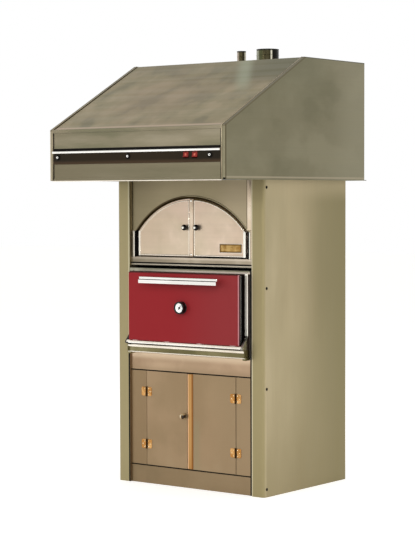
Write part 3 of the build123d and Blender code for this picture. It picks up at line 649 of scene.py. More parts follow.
def oval(wide: float, high: float, steps: int, centre: Pair = (0.0, 0.0)) -> np.ndarray:
    """Work out a whole ellipse, from its two half axes, as a ring that doesn't repeat its first point."""
    return arc(centre, wide, high, 0, 360 * (steps - 1) / steps, steps)


def add_mesh(name: str, points: np.ndarray, faces: list[tuple[int, ...]],
             smooth: bool = True) -> bpy.types.Object:
    """Make an object from points and faces, at the origin.

    Args:
        name: the piece's name.
        points: rows of x, y and z in metres.
        faces: point numbers of each face.
        smooth: shade it smoothly.

    Returns:
        The new object.
    """
    mesh = bpy.data.meshes.new(name)
    mesh.from_pydata(points.tolist(), [], faces)
    mesh.polygons.foreach_set("use_smooth", np.full(len(mesh.polygons), smooth))
    mesh.update()
    piece = bpy.data.objects.new(name, mesh)
    bpy.context.scene.collection.objects.link(piece)
    return piece


def ring_faces(rows: int, columns: int, start: int = 0, closed: bool = False) -> list[tuple[int, ...]]:
    """List the faces of a tube of rings, with both ends capped unless it closes on itself.

    Args:
        rows: number of rings.
        columns: points in each ring.
        start: number of the first point.
        closed: join the last ring to the first.

    Returns:
        Four-sided faces between neighbouring rings, and one face on each open end.
    """
    row = np.arange(rows if closed else rows - 1)[:, None]
    column = np.arange(columns)[None, :]
    after = (column + 1) % columns
    below = (row + 1) % rows
    quads = np.stack([row * columns + column, row * columns + after, below * columns + after,
                      below * columns + column], axis=-1).reshape(-1, 4) + start
    faces = [tuple(quad) for quad in quads.tolist()]
    if not closed:
        faces.append(tuple(range(start + columns - 1, start - 1, -1)))
        last = start + (rows - 1) * columns
        faces.append(tuple(range(last, last + columns)))
    return faces


def tubes(name: str, stacks: list[np.ndarray], closed: bool = False, smooth: bool = True) -> bpy.types.Object:
    """Make one piece from several stacks of rings.

    Args:
        name: the piece's name.
        stacks: arrays of rings by points by three coordinates.
        closed: each stack joins its own last ring to its first.
        smooth: shade it smoothly.

    Returns:
        The new object, with its faces turned outwards.
    """
    points: list[np.ndarray] = []
    faces: list[tuple[int, ...]] = []
    start = 0
    for stack in stacks:
        rows, columns = stack.shape[:2]
        faces += ring_faces(rows, columns, start, closed)
        points.append(stack.reshape(-1, 3))
        start += rows * columns
    piece = add_mesh(name, np.concatenate(points), faces, smooth)
    outwards(piece)
    return piece


def outwards(piece: bpy.types.Object) -> None:
    """Turn a closed mesh's faces outwards, body by body."""
    work = bmesh.new()
    work.from_mesh(piece.data)
    bmesh.ops.remove_doubles(work, verts=work.verts, dist=1e-7)
    bmesh.ops.recalc_face_normals(work, faces=work.faces)
    work.to_mesh(piece.data)
    work.free()


def soften(piece: bpy.types.Object, width: float, segments: int = 3, angle: float = 32.0) -> bpy.types.Object:
    """Round a piece's sharp edges with a Bevel modifier.

    Args:
        piece: the piece.
        width: the rounding's width in metres.
        segments: steps across it.
        angle: sharpest angle in degrees that stays as it is.

    Returns:
        The same piece.
    """
    bevel = piece.modifiers.new("rounding", "BEVEL")
    bevel.width = width
    bevel.segments = segments
    bevel.limit_method = "ANGLE"
    bevel.angle_limit = math.radians(angle)
    bevel.harden_normals = True
    return piece


def rounded_outline(half_width: float, half_height: float, radius: float, steps: int = 8) -> np.ndarray:
    """Work out a rectangle with round corners.

    Args:
        half_width: half of its width.
        half_height: half of its height.
        radius: radius of its corners.
        steps: points in each corner.

    Returns:
        Rows of two coordinates. Each corner is a quarter circle about a point one radius inside both sides.
    """
    radius = max(min(radius, half_width, half_height), 1e-5)
    angle = (np.arange(4)[:, None] * 90 + np.linspace(0, 90, steps)[None, :]).reshape(-1)
    sign_x = np.repeat([1, -1, -1, 1], steps)
    sign_z = np.repeat([1, 1, -1, -1], steps)
    turn = np.radians(angle)
    return np.stack([sign_x * (half_width - radius) + radius * np.cos(turn),
                     sign_z * (half_height - radius) + radius * np.sin(turn)], axis=-1)


def panel_rings(centre: Point, half_width: float, half_height: float, radius: float,
                stations: list[tuple[float, float]], steps: int = 8) -> np.ndarray:
    """Carry a profile round a rounded rectangle that faces the front.

    Args:
        centre: middle of the rectangle, on the plane where depth is zero.
        half_width: half of its width.
        half_height: half of its height.
        radius: corner radius of the full outline.
        stations: inset from the outline and depth behind the plane, for each ring.
        steps: points in each corner.

    Returns:
        One ring for each station.
    """
    x, y, z = centre
    return np.stack([upright(rounded_outline(half_width - inset, half_height - inset, radius - inset, steps),
                             (x, y + depth, z)) for inset, depth in stations])


def rounded_stations(radius: float, start: float, end: float, steps: int = 4) -> list[tuple[float, float]]:
    """Work out a plate's edge: a quarter circle at the front and a straight wall behind.

    Args:
        radius: the front edge's radius.
        start: depth of the front.
        end: depth of the back.
        steps: points in the quarter circle.

    Returns:
        Inset and depth from the back to the front: inset is radius times one minus cosine, depth falls with
        the sine.
    """
    turn = np.radians(np.linspace(0, 90, steps + 1))
    insets = radius * (1 - np.cos(turn))
    depths = start + radius * (1 - np.sin(turn))
    return [(0.0, end), *zip(insets.tolist(), depths.tolist())]


def plate_rings(centre: Point, half_width: float, half_height: float, corner: float, rounding: float,
                depth: float, steps: int = 5) -> np.ndarray:
    """Work out a plate that faces the front, with round corners and a rounded front edge.

    Args:
        centre: middle of its front.
        half_width: half of its width.
        half_height: half of its height.
        corner: radius of its corners.
        rounding: radius of its front edge.
        depth: its thickness.
        steps: points in each corner.

    Returns:
        One ring for each station from its back to its front.
    """
    return panel_rings(centre, half_width, half_height, corner, rounded_stations(rounding, 0.0, depth), steps)


def lathe(profile: np.ndarray | list[Pair], centre: Point, axis: Axis = Axis.Y,
          direction: int = -1, segments: int = 48) -> np.ndarray:
    """Turn a profile about an axis.

    Args:
        profile: radius and distance along the axis, for each ring.
        centre: point on the axis where the distance is zero.
        axis: direction of the axis.
        direction: 1 if distances run along the axis, -1 if against it.
        segments: points round each ring.

    Returns:
        One circle for each point of the profile.
    """
    turn = np.linspace(0, 2 * math.pi, segments, endpoint=False)
    radius, reach = np.array(profile).T
    rings = np.zeros((len(profile), segments, 3))
    first, second = [number for number in range(3) if number != axis.value]
    rings[:, :, axis.value] = centre[axis.value] + direction * reach[:, None]
    rings[:, :, first] = centre[first] + radius[:, None] * np.cos(turn)
    rings[:, :, second] = centre[second] + radius[:, None] * np.sin(turn)
    return rings


def hoop(profile: np.ndarray, centre: Point, axis: Axis = Axis.Y, direction: int = -1,
         segments: int = 48) -> np.ndarray:
    """Turn a closed profile about an axis, and list its rings round the axis.

    Args:
        profile: radius and distance along the axis, for each point.
        centre: point on the axis where the distance is zero.
        axis: direction of the axis.
        direction: 1 if distances run along the axis, -1 if against it.
        segments: rings round the axis.

    Returns:
        The profile at each angle, as rings that join into a hoop.
    """
    return np.swapaxes(lathe(profile, centre, axis, direction, segments), 0, 1)


def turned_knob(radius: float, reach: float) -> np.ndarray:
    """Work out a knob's profile: a rose, a waisted neck and a ball.

    Args:
        radius: the ball's radius.
        reach: from the door's face to the front of the ball.

    Returns:
        Radius and reach of each ring.
    """
    foot = in_mm([(10, 0), (10, 1), (8.6, 2.2), (5.6, 3), (4.4, 5)])
    return np.concatenate([foot, arc((0.0, reach - radius), radius, radius, -58, 84, 16)])


def sweep(path: np.ndarray, profile: np.ndarray, side: Point, closed: bool = False) -> np.ndarray:
    """Carry a flat profile along a path that lies in one plane.

    Args:
        path: points of the path.
        profile: rows of the distance along side and the distance outwards.
        side: direction at right angles to the plane of the path.
        closed: the path ends where it starts.

    Returns:
        One ring for each point. Outwards is the path's direction turned by side, and at a corner the ring
        lies on the mitre and is made longer by one over the cosine of half the turn.
    """
    across = np.array(side, float)
    if closed:
        before, after = np.roll(path, 1, axis=0), np.roll(path, -1, axis=0)
    else:
        before = np.concatenate([path[:1] * 2 - path[1:2], path[:-1]])
        after = np.concatenate([path[1:], path[-1:] * 2 - path[-2:-1]])
    coming = (path - before) / np.linalg.norm(path - before, axis=1, keepdims=True)
    going = (after - path) / np.linalg.norm(after - path, axis=1, keepdims=True)
    middle = coming + going
    middle /= np.linalg.norm(middle, axis=1, keepdims=True)
    stretch = 1 / np.maximum((middle * going).sum(1, keepdims=True), 0.2)
    out = np.cross(middle, across) * stretch
    return (path[:, None, :] + profile[None, :, :1] * across
            + profile[None, :, 1:] * out[:, None, :])


def bead_profile(width: float, height: float, steps: int = 8) -> np.ndarray:
    """Work out a half-round bead: half an ellipse standing on its flat side.

    Args:
        width: width of the flat side.
        height: height over it.
        steps: points in the half ellipse.

    Returns:
        Rows of the distance across and the distance outwards.
    """
    return arc((0.0, 0.0), width / 2, height, 0, 180, steps)


def bar(profile: np.ndarray, start: float, end: float) -> np.ndarray:
    """Draw out a profile of y and z along X.

    Args:
        profile: rows of y and z.
        start: x of one end.
        end: x of the other end.

    Returns:
        Two rings.
    """
    rings = np.zeros((2, len(profile), 3))
    rings[:, :, 0] = np.array([start, end])[:, None]
    rings[:, :, 1:] = profile
    return rings


def block(left: float, right: float, front: float, back: float, low: float, high: float) -> np.ndarray:
    """Work out a plain block from its six sides.

    Args:
        left: lowest x.
        right: highest x.
        front: lowest y.
        back: highest y.
        low: lowest z.
        high: highest z.

    Returns:
        Two rings, at its left and right ends.
    """
    return bar(np.array([(front, low), (front, high), (back, high), (back, low)]), left, right)


class Finish(Enum):
    """The finishes of the oven, by what they cover."""

    # Darker, greener upper right, a streak of painted light, a painted highlight on the crease below, a dark
    # top edge
    SLOPE = Sheet(
        "slope_steel", (132, 121, 88), (112, 104, 74), (146, 132, 101), (136, 114, 88), cloud_size=7.5,
        cloud_stretch=(1.0, 0.7, 0.9), stain_amount=0.35, grain=0.04, edge_light=0.6, shades=(
            shade((104, 98, 68), 0.35, along_z(1.96, 2.08)),
            shade((86, 83, 50), 0.9, along_x(0.06, 0.40), along_z(1.92, 2.01)),
            shade((144, 148, 122), 0.7, Span((1.0, 0.0, 1.2), 2.61, 2.68), Span((1.0, 0.0, 1.2), 2.75, 2.69),
                along_z(1.88, 1.98)),
            shade((172, 151, 128), 0.85, along_z(1.7560, 1.7530)),
            shade((62, 62, 46), 0.8, along_z(2.0815, 2.0830))))
    HOOD = Sheet(
        "hood_steel", (138, 130, 107), (120, 116, 92), (152, 143, 121), (132, 116, 94), cloud_size=6.0,
        cloud_stretch=(0.35, 0.5, 2.0), stain_amount=0.6, edge_light=0.6, shades=(
            shade((112, 107, 84), 0.6, along_z(1.66, 1.58)),
            shade((40, 38, 30), 0.9, along_y(0.5795, 0.5805))))
    # A darker copy of the hood steel, as painted shade on the sides; lighter to the rear, darker high in
    # front
    # A painted highlight on the fold below and on the left front flange; dark edges above and behind
    HOOD_SIDE = Sheet(
        "hood_side_steel", (123, 117, 92), (112, 107, 82), (132, 126, 101), (117, 113, 89), strokes=Axis.Y,
        cloud_size=4.4, cloud_stretch=(1.0, 0.7, 1.2), stain_amount=0.35, edge_light=0.1, shades=(
            shade((144, 138, 114), 0.6, along_y(0.22, 0.50)),
            shade((110, 108, 84), 0.5, along_z(1.75, 2.05), along_y(0.35, 0.05)),
            shade((166, 154, 130), 0.7, along_z(1.5165, 1.5145), along_z(1.5065, 1.5085)),
            shade((52, 52, 38), 0.8, along_z(2.0790, 2.0815)),
            shade((52, 50, 38), 0.8, along_y(0.5730, 0.5755)),
            shade((136, 129, 105), 0.8, along_y(-0.5800, -0.5810)),
            shade((196, 182, 158), 0.8, along_y(-0.5800, -0.5810), along_x(-0.518, -0.520)),
            shade((92, 84, 62), 0.8, along_y(-0.5700, -0.5730), along_y(-0.5812, -0.5800)),
            shade((92, 82, 62), 0.5, Span((0.0, -0.5354, 1.0), 2.0478, 2.0505))))
    # Lighter than the hood steel: a painted highlight on the rolled seams
    SEAM = Sheet(
        "seam_steel", (158, 148, 122), (140, 130, 104), (182, 170, 144), (160, 142, 118), cloud_size=9.0,
        edge_light=0.6)
    # Dark to the rear and below; lighter high up on the sides, painted light against the hood's shadow
    # Plain front posts, darker than the sides as painted shade, with painted highlights on their inner bends
    TOWER = Sheet(
        "tower_steel", (172, 158, 124), (160, 146, 112), (184, 169, 136), (164, 153, 117), strokes=Axis.Z,
        cloud_size=2.2, cloud_stretch=(1.0, 1.0, 0.4), edge_radius=0.002, edge_light=0.2, stain_amount=0.35,
        shades=(
            shade((134, 124, 88), 0.95, along_y(-0.10, 0.50)),
            shade((190, 174, 138), 0.6, along_z(1.38, 1.50), along_y(-0.160, -0.150)),
            shade((192, 175, 140), 0.32, along_z(0.60, 0.85), along_y(-0.05, 0.06), along_y(0.30, 0.12)),
            shade((136, 123, 88), 0.45, along_z(0.70, 0.05), along_y(-0.160, -0.150)),
            shade((150, 138, 100), 0.9, along_y(-0.160, -0.170)),
            shade((206, 196, 166), 0.8, along_y(-0.170, -0.171), along_x(0.3830, 0.3815)),
            shade((150, 138, 100), 0.9, along_y(-0.170, -0.171), along_x(0.3700, 0.3690),
                along_x(-0.3830, -0.3840)),
            shade((178, 172, 140), 0.8, along_y(-0.170, -0.171), along_x(-0.3830, -0.3815),
                along_x(-0.3700, -0.3710))))
    # Lighter high up, painted light against the hood's shadow; darker to the left, lighter to the right
    ARCH_PANEL = Sheet(
        "arch_panel_steel", (156, 144, 114), (142, 131, 102), (168, 155, 126), (148, 140, 111),
        cloud_size=3.0, stain_amount=0.35, shades=(
            shade((172, 158, 126), 0.6, along_z(1.38, 1.46)),
            shade((128, 117, 90), 0.75, along_x(-0.12, -0.36)),
            shade((176, 161, 133), 0.8, along_x(0.10, 0.28))))
    # A copy of the panel steel, darkened on its left half as painted shade in the arch's gap
    FOLD = Sheet(
        "arch_fold_steel", (156, 144, 114), (142, 131, 102), (168, 155, 126), (148, 140, 111), cloud_size=3.0,
        stain_amount=0.35, edge_light=0.1, shades=(
            shade((74, 60, 34), 0.9, along_x(0.02, -0.06)),))
    # Darker to the left; black past the plates' outer edges, painted shade over the hinge lugs in the gap
    ARCH_DOOR = Sheet(
        "arch_door_steel", (210, 193, 168), (194, 179, 151), (227, 209, 187), (219, 190, 172), roughness=0.36,
        cloud_size=6.5, stain_amount=0.55, edge_light=0.8, shades=(
            shade((190, 172, 146), 0.55, along_x(-0.02, -0.28)),
            shade((12, 10, 8), 1.0, along_x(0.3332, 0.3340)),
            shade((12, 10, 8), 1.0, along_x(-0.3332, -0.3340))))
    ARCH_STRIP = Sheet(
        "arch_strip_steel", (224, 204, 178), (208, 188, 162), (240, 224, 202), (216, 192, 168),
        strokes=Axis.Z, roughness=0.30, cloud_size=8.0, edge_light=0.5)
    SILL = Sheet(
        "sill_steel", (160, 148, 127), (142, 131, 111), (186, 174, 153), (170, 154, 133), roughness=0.34,
        cloud_size=6.0, shades=(
            shade((214, 200, 180), 0.7, along_z(1.112, 1.120)),
            shade((232, 222, 202), 0.85, along_z(1.0935, 1.0925)),
            shade((118, 108, 90), 0.6, along_x(0.05, -0.40))))
    FRONT = Sheet(
        "front_steel", (158, 133, 103), (147, 124, 94), (168, 144, 114), (150, 132, 100), strokes=Axis.Z,
        cloud_size=2.6, roughness=0.45, grain=0.06, shades=(
            shade((144, 132, 102), 0.5, along_x(0.012, 0.03), along_x(0.075, 0.04), along_z(0.36, 0.30)),
            shade((136, 114, 84), 0.8, along_x(-0.275, -0.278)),
            shade((148, 126, 96), 0.7, along_x(0.05, 0.28))))
    # A painted reflection along the top; darker low down
    FASCIA = Sheet(
        "fascia_steel", (166, 141, 113), (154, 129, 101), (184, 158, 129), (170, 140, 114), cloud_size=3.5,
        roughness=0.36, grain=0.06, shades=(
            shade((222, 198, 168), 0.85, along_z(0.612, 0.650)),
            shade((150, 127, 99), 0.6, along_z(0.600, 0.566))))
    PLINTH = Sheet(
        "plinth_steel", (140, 119, 90), (130, 111, 83), (150, 129, 100), (138, 119, 89), cloud_size=3.0,
        roughness=0.48, grain=0.06)
    # A light band near the top, and a dark line of painted shade just above the door
    FRAME = Sheet(
        "frame_steel", (140, 136, 114), (122, 118, 98), (172, 167, 150), (132, 130, 108), roughness=0.36,
        shades=(
            shade((214, 200, 186), 0.9, along_z(1.066, 1.063), along_y(-0.1716, -0.1725),
                along_x(-0.42, 0.02)),
            shade((40, 26, 22), 1.0, along_z(1.0562, 1.0554), along_y(-0.1716, -0.1725))))
    LEDGE = Sheet("ledge_steel", (116, 108, 74), (98, 92, 60), (140, 132, 98), (122, 112, 80), roughness=0.40)
    # Painted reflections: bright and dark bands along the pipes; darker at their tops
    SPIGOT = Sheet(
        "spigot_steel", (60, 55, 32), (34, 32, 18), (96, 88, 58), (50, 46, 28), strokes=Axis.Z,
        roughness=0.34, metallic=0.8, cloud_size=14.0, cloud_stretch=(1.0, 1.0, 0.12), stain_amount=0.4,
        grain=0.05, bump=0.01, shades=(
            shade((232, 228, 208), 0.95, across_spigots(0.3085, 0.3115), across_spigots(0.3195, 0.3165)),
            shade((10, 10, 7), 0.95, across_spigots(0.3195, 0.3220)),
            shade((84, 88, 58), 0.75, across_spigots(0.2780, 0.2580), across_spigots(0.2200, 0.2300)),
            shade((188, 190, 170), 0.8, across_spigots(0.2540, 0.2450), across_spigots(0.2200, 0.2300)),
            shade((196, 182, 166), 0.8, across_spigots(0.1540, 0.1470)),
            shade((196, 192, 170), 0.8, across_spigots(0.1760, 0.1820), across_spigots(0.2100, 0.2000)),
            shade((30, 32, 24), 0.85, along_z(2.1650, 2.1665))))
    ZINC = Sheet(
        "galvanised_sheet", (150, 152, 150), (124, 127, 126), (176, 178, 176), (140, 146, 150),
        roughness=0.45, cloud_size=26.0, grain=0.03, edge_light=0.2)
    INOX = Sheet(
        "plain_steel", (170, 168, 160), (150, 148, 140), (200, 198, 190), (160, 156, 146), roughness=0.30,
        metallic=1.0)
    POLISHED = Gloss("polished_steel", (254, 253, 250), (242, 240, 235), 0.08, metallic=1.0, mottle=9.0)
    BRIGHT = Gloss("bright_trim", (244, 236, 222), (226, 216, 200), 0.20, metallic=0.9, mottle=9.0)
    TRIM = Gloss("polished_trim", (255, 252, 240), (253, 247, 232), 0.18, metallic=0.6, shine=0.8, mottle=9.0)
    BRASS = Gloss(
        "polished_brass", (206, 158, 100), (176, 124, 66), 0.22, metallic=1.0, mottle=60.0, wear=0.6,
        wear_colour=(255, 232, 188))
    BRASS_BRIGHT = Gloss("brass_screws", (255, 232, 188), (236, 196, 130), 0.16, metallic=1.0, mottle=90.0)
    # A painted highlight on the left edge and painted shade on the right
    BRASS_STRIP = Gloss(
        "brass_strip", (182, 138, 84), (172, 126, 72), 0.34, metallic=0.9, mottle=7.0, shades=(
            shade((132, 82, 36), 0.85, along_x(0.007, 0.012)),
            shade((236, 190, 148), 0.9, along_x(-0.008, -0.011))))
    # Painted light on the knob: a highlight on the left and on top, and shade on the right
    ANTIQUE = Gloss(
        "antique_brass_painted_light", (150, 116, 66), (96, 70, 38), 0.12, metallic=0.6, mottle=60.0, shine=0.8, shades=(
            shade((24, 16, 8), 0.95, along_x(-0.0380, -0.0340)),
            shade((255, 246, 222), 1.0, along_x(-0.0400, -0.0430)),
            shade((226, 204, 160), 0.8, along_z(0.3575, 0.3600))))
    BARREL = Gloss("dark_brass", (70, 48, 24), (48, 32, 16), 0.25, metallic=1.0, mottle=60.0)
    PLATE = Gloss(
        "plate_brass", (190, 156, 96), (150, 114, 58), 0.30, metallic=0.9, mottle=90.0, wear=0.8,
        wear_colour=(232, 192, 122), edge_radius=0.002, shades=(
            shade((104, 76, 34), 0.85, along_z(1.1880, 1.1900)),
            shade((104, 76, 34), 0.85, along_z(1.1620, 1.1600)),
            shade((104, 76, 34), 0.85, along_x(0.1800, 0.1770)),
            shade((104, 76, 34), 0.85, along_x(0.2940, 0.2970))))
    # Lighter to the right; painted shade along the top and on the right side, a painted highlight on its edge
    ENAMEL = Gloss(
        "red_enamel", (146, 33, 38), (140, 34, 40), 0.34, shine=0.12, mottle=3.0, bump=0.03, bump_size=120.0,
        wear=0.8, wear_colour=(226, 160, 164), shades=(
            shade((142, 50, 52), 0.8, along_x(-0.10, 0.30)),
            shade((70, 18, 18), 0.8, along_z(1.0475, 1.0500)),
            shade((222, 160, 166), 0.85, along_x(0.3350, 0.3362)),
            shade((52, 12, 16), 0.9, along_x(0.3362, 0.3368), along_y(-0.2190, -0.2170))))
    # Lighter low down; black along the top as painted shade above the rail
    STRIP = Gloss(
        "strip_lacquer", (37, 27, 11), (28, 22, 10), 0.30, shine=0.12, mottle=4.0, shades=(
            shade((72, 54, 36), 0.7, along_z(1.600, 1.582)),
            shade((5, 5, 4), 1.0, along_z(1.642, 1.644))))
    DARK = Gloss("dark_paint", (34, 33, 35), (26, 26, 28), 0.45, shine=0.2, mottle=8.0, wear=0.3, bump=0.05)
    # Black for the side screws and the strip's collars; elsewhere painted shade in gaps, grooves and notches
    SHADOW = Gloss("black_and_painted_shade", (9, 8, 6), (14, 12, 9), 0.7, shine=0.1, mottle=8.0)
    # Painted shade in the arch's gap: brown along the arch and black beside the uprights
    GAP_SHADE = Gloss(
        "arch_gap_painted_shade", (98, 80, 46), (84, 68, 38), 0.7, shine=0.1, mottle=8.0, shades=(
            shade((10, 8, 6), 1.0, along_z(1.264, 1.256)),))
    BRACKET = Sheet(
        "bracket_steel", (170, 168, 160), (150, 148, 140), (200, 198, 190), (160, 156, 146), roughness=0.30,
        metallic=1.0, shades=(
            shade((30, 25, 18), 0.95, along_x(-0.20, -0.30)),))
    IRON = Gloss(
        "sooted_iron", (46, 43, 40), (24, 22, 21), 0.75, metallic=0.3, mottle=14.0, bump=0.5, bump_size=160.0,
        wear=0.4, wear_colour=(96, 88, 80), smear=0.15)
    KNOB = Gloss("black_gloss", (5, 5, 5), (8, 7, 7), 0.10, shine=0.25, coat=0.05, mottle=40.0)
    ROCKER = Gloss("red_rocker", (116, 20, 16), (134, 30, 22), 0.30, shine=0.2, mottle=60.0)
    LENS = Gloss("rocker_lens", (186, 80, 62), (204, 106, 84), 0.22, shine=0.3, mottle=90.0)
    # The dial glows a little though it is no lamp: painted light
    DIAL = Gloss("dial_enamel", (255, 255, 253), (252, 252, 249), 0.35, mottle=60.0, glow=0.22)
    INK = Gloss("dial_ink", (16, 16, 18), (22, 22, 24), 0.5, shine=0.2, mottle=60.0)
    FIBRE = Gloss(
        "ceramic_fibre", (222, 218, 206), (206, 200, 186), 0.95, mottle=20.0, bump=0.8, bump_size=220.0)
    GLASS = Clear("dial_glass")
    ROPE = Rope("gasket_rope", (24, 24, 25), (74, 72, 70))


class Paint:
    """Builds each finish once and puts it on pieces and CAD nodes."""

    def __init__(self, nodes: dict[str, bpy.types.Object]) -> None:
        """Keep the CAD nodes and start with no materials."""
        self.nodes = nodes
        self.made: dict[Finish, bpy.types.Material] = {}

    def material(self, finish: Finish) -> bpy.types.Material:
        """Return a finish's material, built at its first use."""
        if finish not in self.made:
            self.made[finish] = finish.value.build()
        return self.made[finish]

    def dress(self, finish: Finish, *names: str) -> None:
        """Give CAD nodes a finish.

        Args:
            finish: the finish.
            names: the nodes.
        """
        for name in names:
            for slot in self.nodes[name].material_slots:
                slot.material = self.material(finish)
            log.info("dressed %s", name)

    def piece(self, made: bpy.types.Object, finish: Finish, body: str, slot: str,
              *replaced: str) -> bpy.types.Object:
        """Give a new piece its finish and body.

        Args:
            made: the piece.
            finish: its finish.
            body: the CAD body that it rides on.
            slot: not used.
            replaced: CAD nodes that it stands for.

        Returns:
            The same piece.
        """
        made.data.materials.append(self.material(finish))
        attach(made, body)
        if replaced:
            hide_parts(*replaced)
        log.info("built %s", made.name)
        return made

    def solid(self, name: str, stacks: list[np.ndarray], finish: Finish, body: str, slot: str, *replaced: str,
              rounding: float = 0.0, segments: int = 2, closed: bool = False, smooth: bool = True) -> None:
        """Build one piece from stacks of rings, with its finish and body.

        Args:
            name: the piece's name.
            stacks: arrays of rings by points by three coordinates.
            finish: its finish.
            body: the CAD body that it rides on.
            slot: not used.
            replaced: CAD nodes that it stands for.
            rounding: width of its rounded edges, or 0 to leave them sharp.
            segments: steps across the rounding.
            closed: each stack joins its own last ring to its first.
            smooth: shade it smoothly.
        """
        made = tubes(name, stacks, closed, smooth)
        if rounding:
            soften(made, rounding, segments)
        self.piece(made, finish, body, slot, *replaced)


@dataclass
class Tower:
    """The tower's sides, lower front, back and what is hidden in it."""

    paint: Paint
    post: float = 0.375
    screw_radius: float = 7.4 * MM
    rivet_pitch: float = 0.15
    rivet_inset: float = 12 * MM

    def build(self) -> None:
        """Dress the sheets and add the screws, rivets and seams."""
        self.paint.dress(Finish.TOWER, "side_panel_left", "side_panel_right")
        self.paint.dress(Finish.FRONT, "cupboard_stiles")
        self.paint.dress(Finish.FASCIA, "fascia_panel")
        self.paint.dress(Finish.PLINTH, "plinth_panel")
        self.paint.dress(Finish.ZINC, "back_panel", "base_panel", "oven_deck", "oven_casing", "warming_box")
        self.screws()
        self.rivets()
        self.seams()

    def screws(self) -> None:
        """Put a domed screw head over each CAD screw on the sides."""
        low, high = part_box("side_screws")
        y, inset, radius = (low.y + high.y) / 2, (high.y - low.y) / 2, self.screw_radius
        dome = [(radius, 0.0), (radius, 0.6 * MM), (radius * 0.8, 1.5 * MM), (radius * 0.45, 2.0 * MM),
                (radius * 0.4, 1.0 * MM)]
        side_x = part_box("side_panel_right")[1].x
        stacks = [lathe(dome, (side * side_x, y, level), Axis.X, side, 20)
                  for side in (-1, 1) for level in np.linspace(low.z + inset, high.z - inset, 4).tolist()]
        self.paint.solid("side_screw_heads", stacks, Finish.SHADOW, CABINET, "frame_steel", "side_screws")

    def rivets(self) -> None:
        """Put a row of pop rivets down each rear flange of the tower."""
        low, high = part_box("side_panel_right")
        dome = in_mm([(3.0, 0.0), (2.55, 0.72), (0.9, 1.2)])
        levels = np.arange(low.z + self.rivet_pitch / 2, high.z, self.rivet_pitch).tolist()
        stacks = [lathe(dome, (side * (high.x - self.rivet_inset), high.y, level), Axis.Y, 1, 16)
                  for side in (-1, 1) for level in levels]
        self.paint.solid("rear_rivets", stacks, Finish.INOX, CABINET, "frame_steel")

    def seams(self) -> None:
        """Add dark strips of painted shade in the joints of the lower front, and the return beside its left
        post.
        """
        face, post_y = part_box("cupboard_stiles")[0].y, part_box("side_panel_left")[0].y
        plinth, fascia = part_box("plinth_panel"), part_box("fascia_panel")
        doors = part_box("cupboard_door_left")
        post, back, top = self.post, face + 3 * MM, fascia[1].z
        spans = ((post - 13.5 * MM, 0.0, top), (-post, plinth[1].z - 2.4 * MM, doors[0].z - 0.2 * MM),
                 (-post, doors[1].z + 0.2 * MM, fascia[0].z + 2.6 * MM))
        stacks = [block(left, post, face - 0.6 * MM, back, low, high) for left, low, high in spans]
        # This strip on the left post's edge is painted shade, for the shade of its reveal
        stacks.append(block(-post - 8 * MM, -post + 0.2 * MM, post_y - 0.6 * MM, post_y + 1 * MM, 0.0, top))
        self.paint.solid("front_seams", stacks, Finish.SHADOW, CABINET, "front_steel", smooth=False)
        inner = block(-post, -post + 1.2 * MM, face - 9.5 * MM, back, 0.0, top)
        self.paint.solid("post_return", [inner], Finish.FRONT, CABINET, "front_steel", smooth=False)


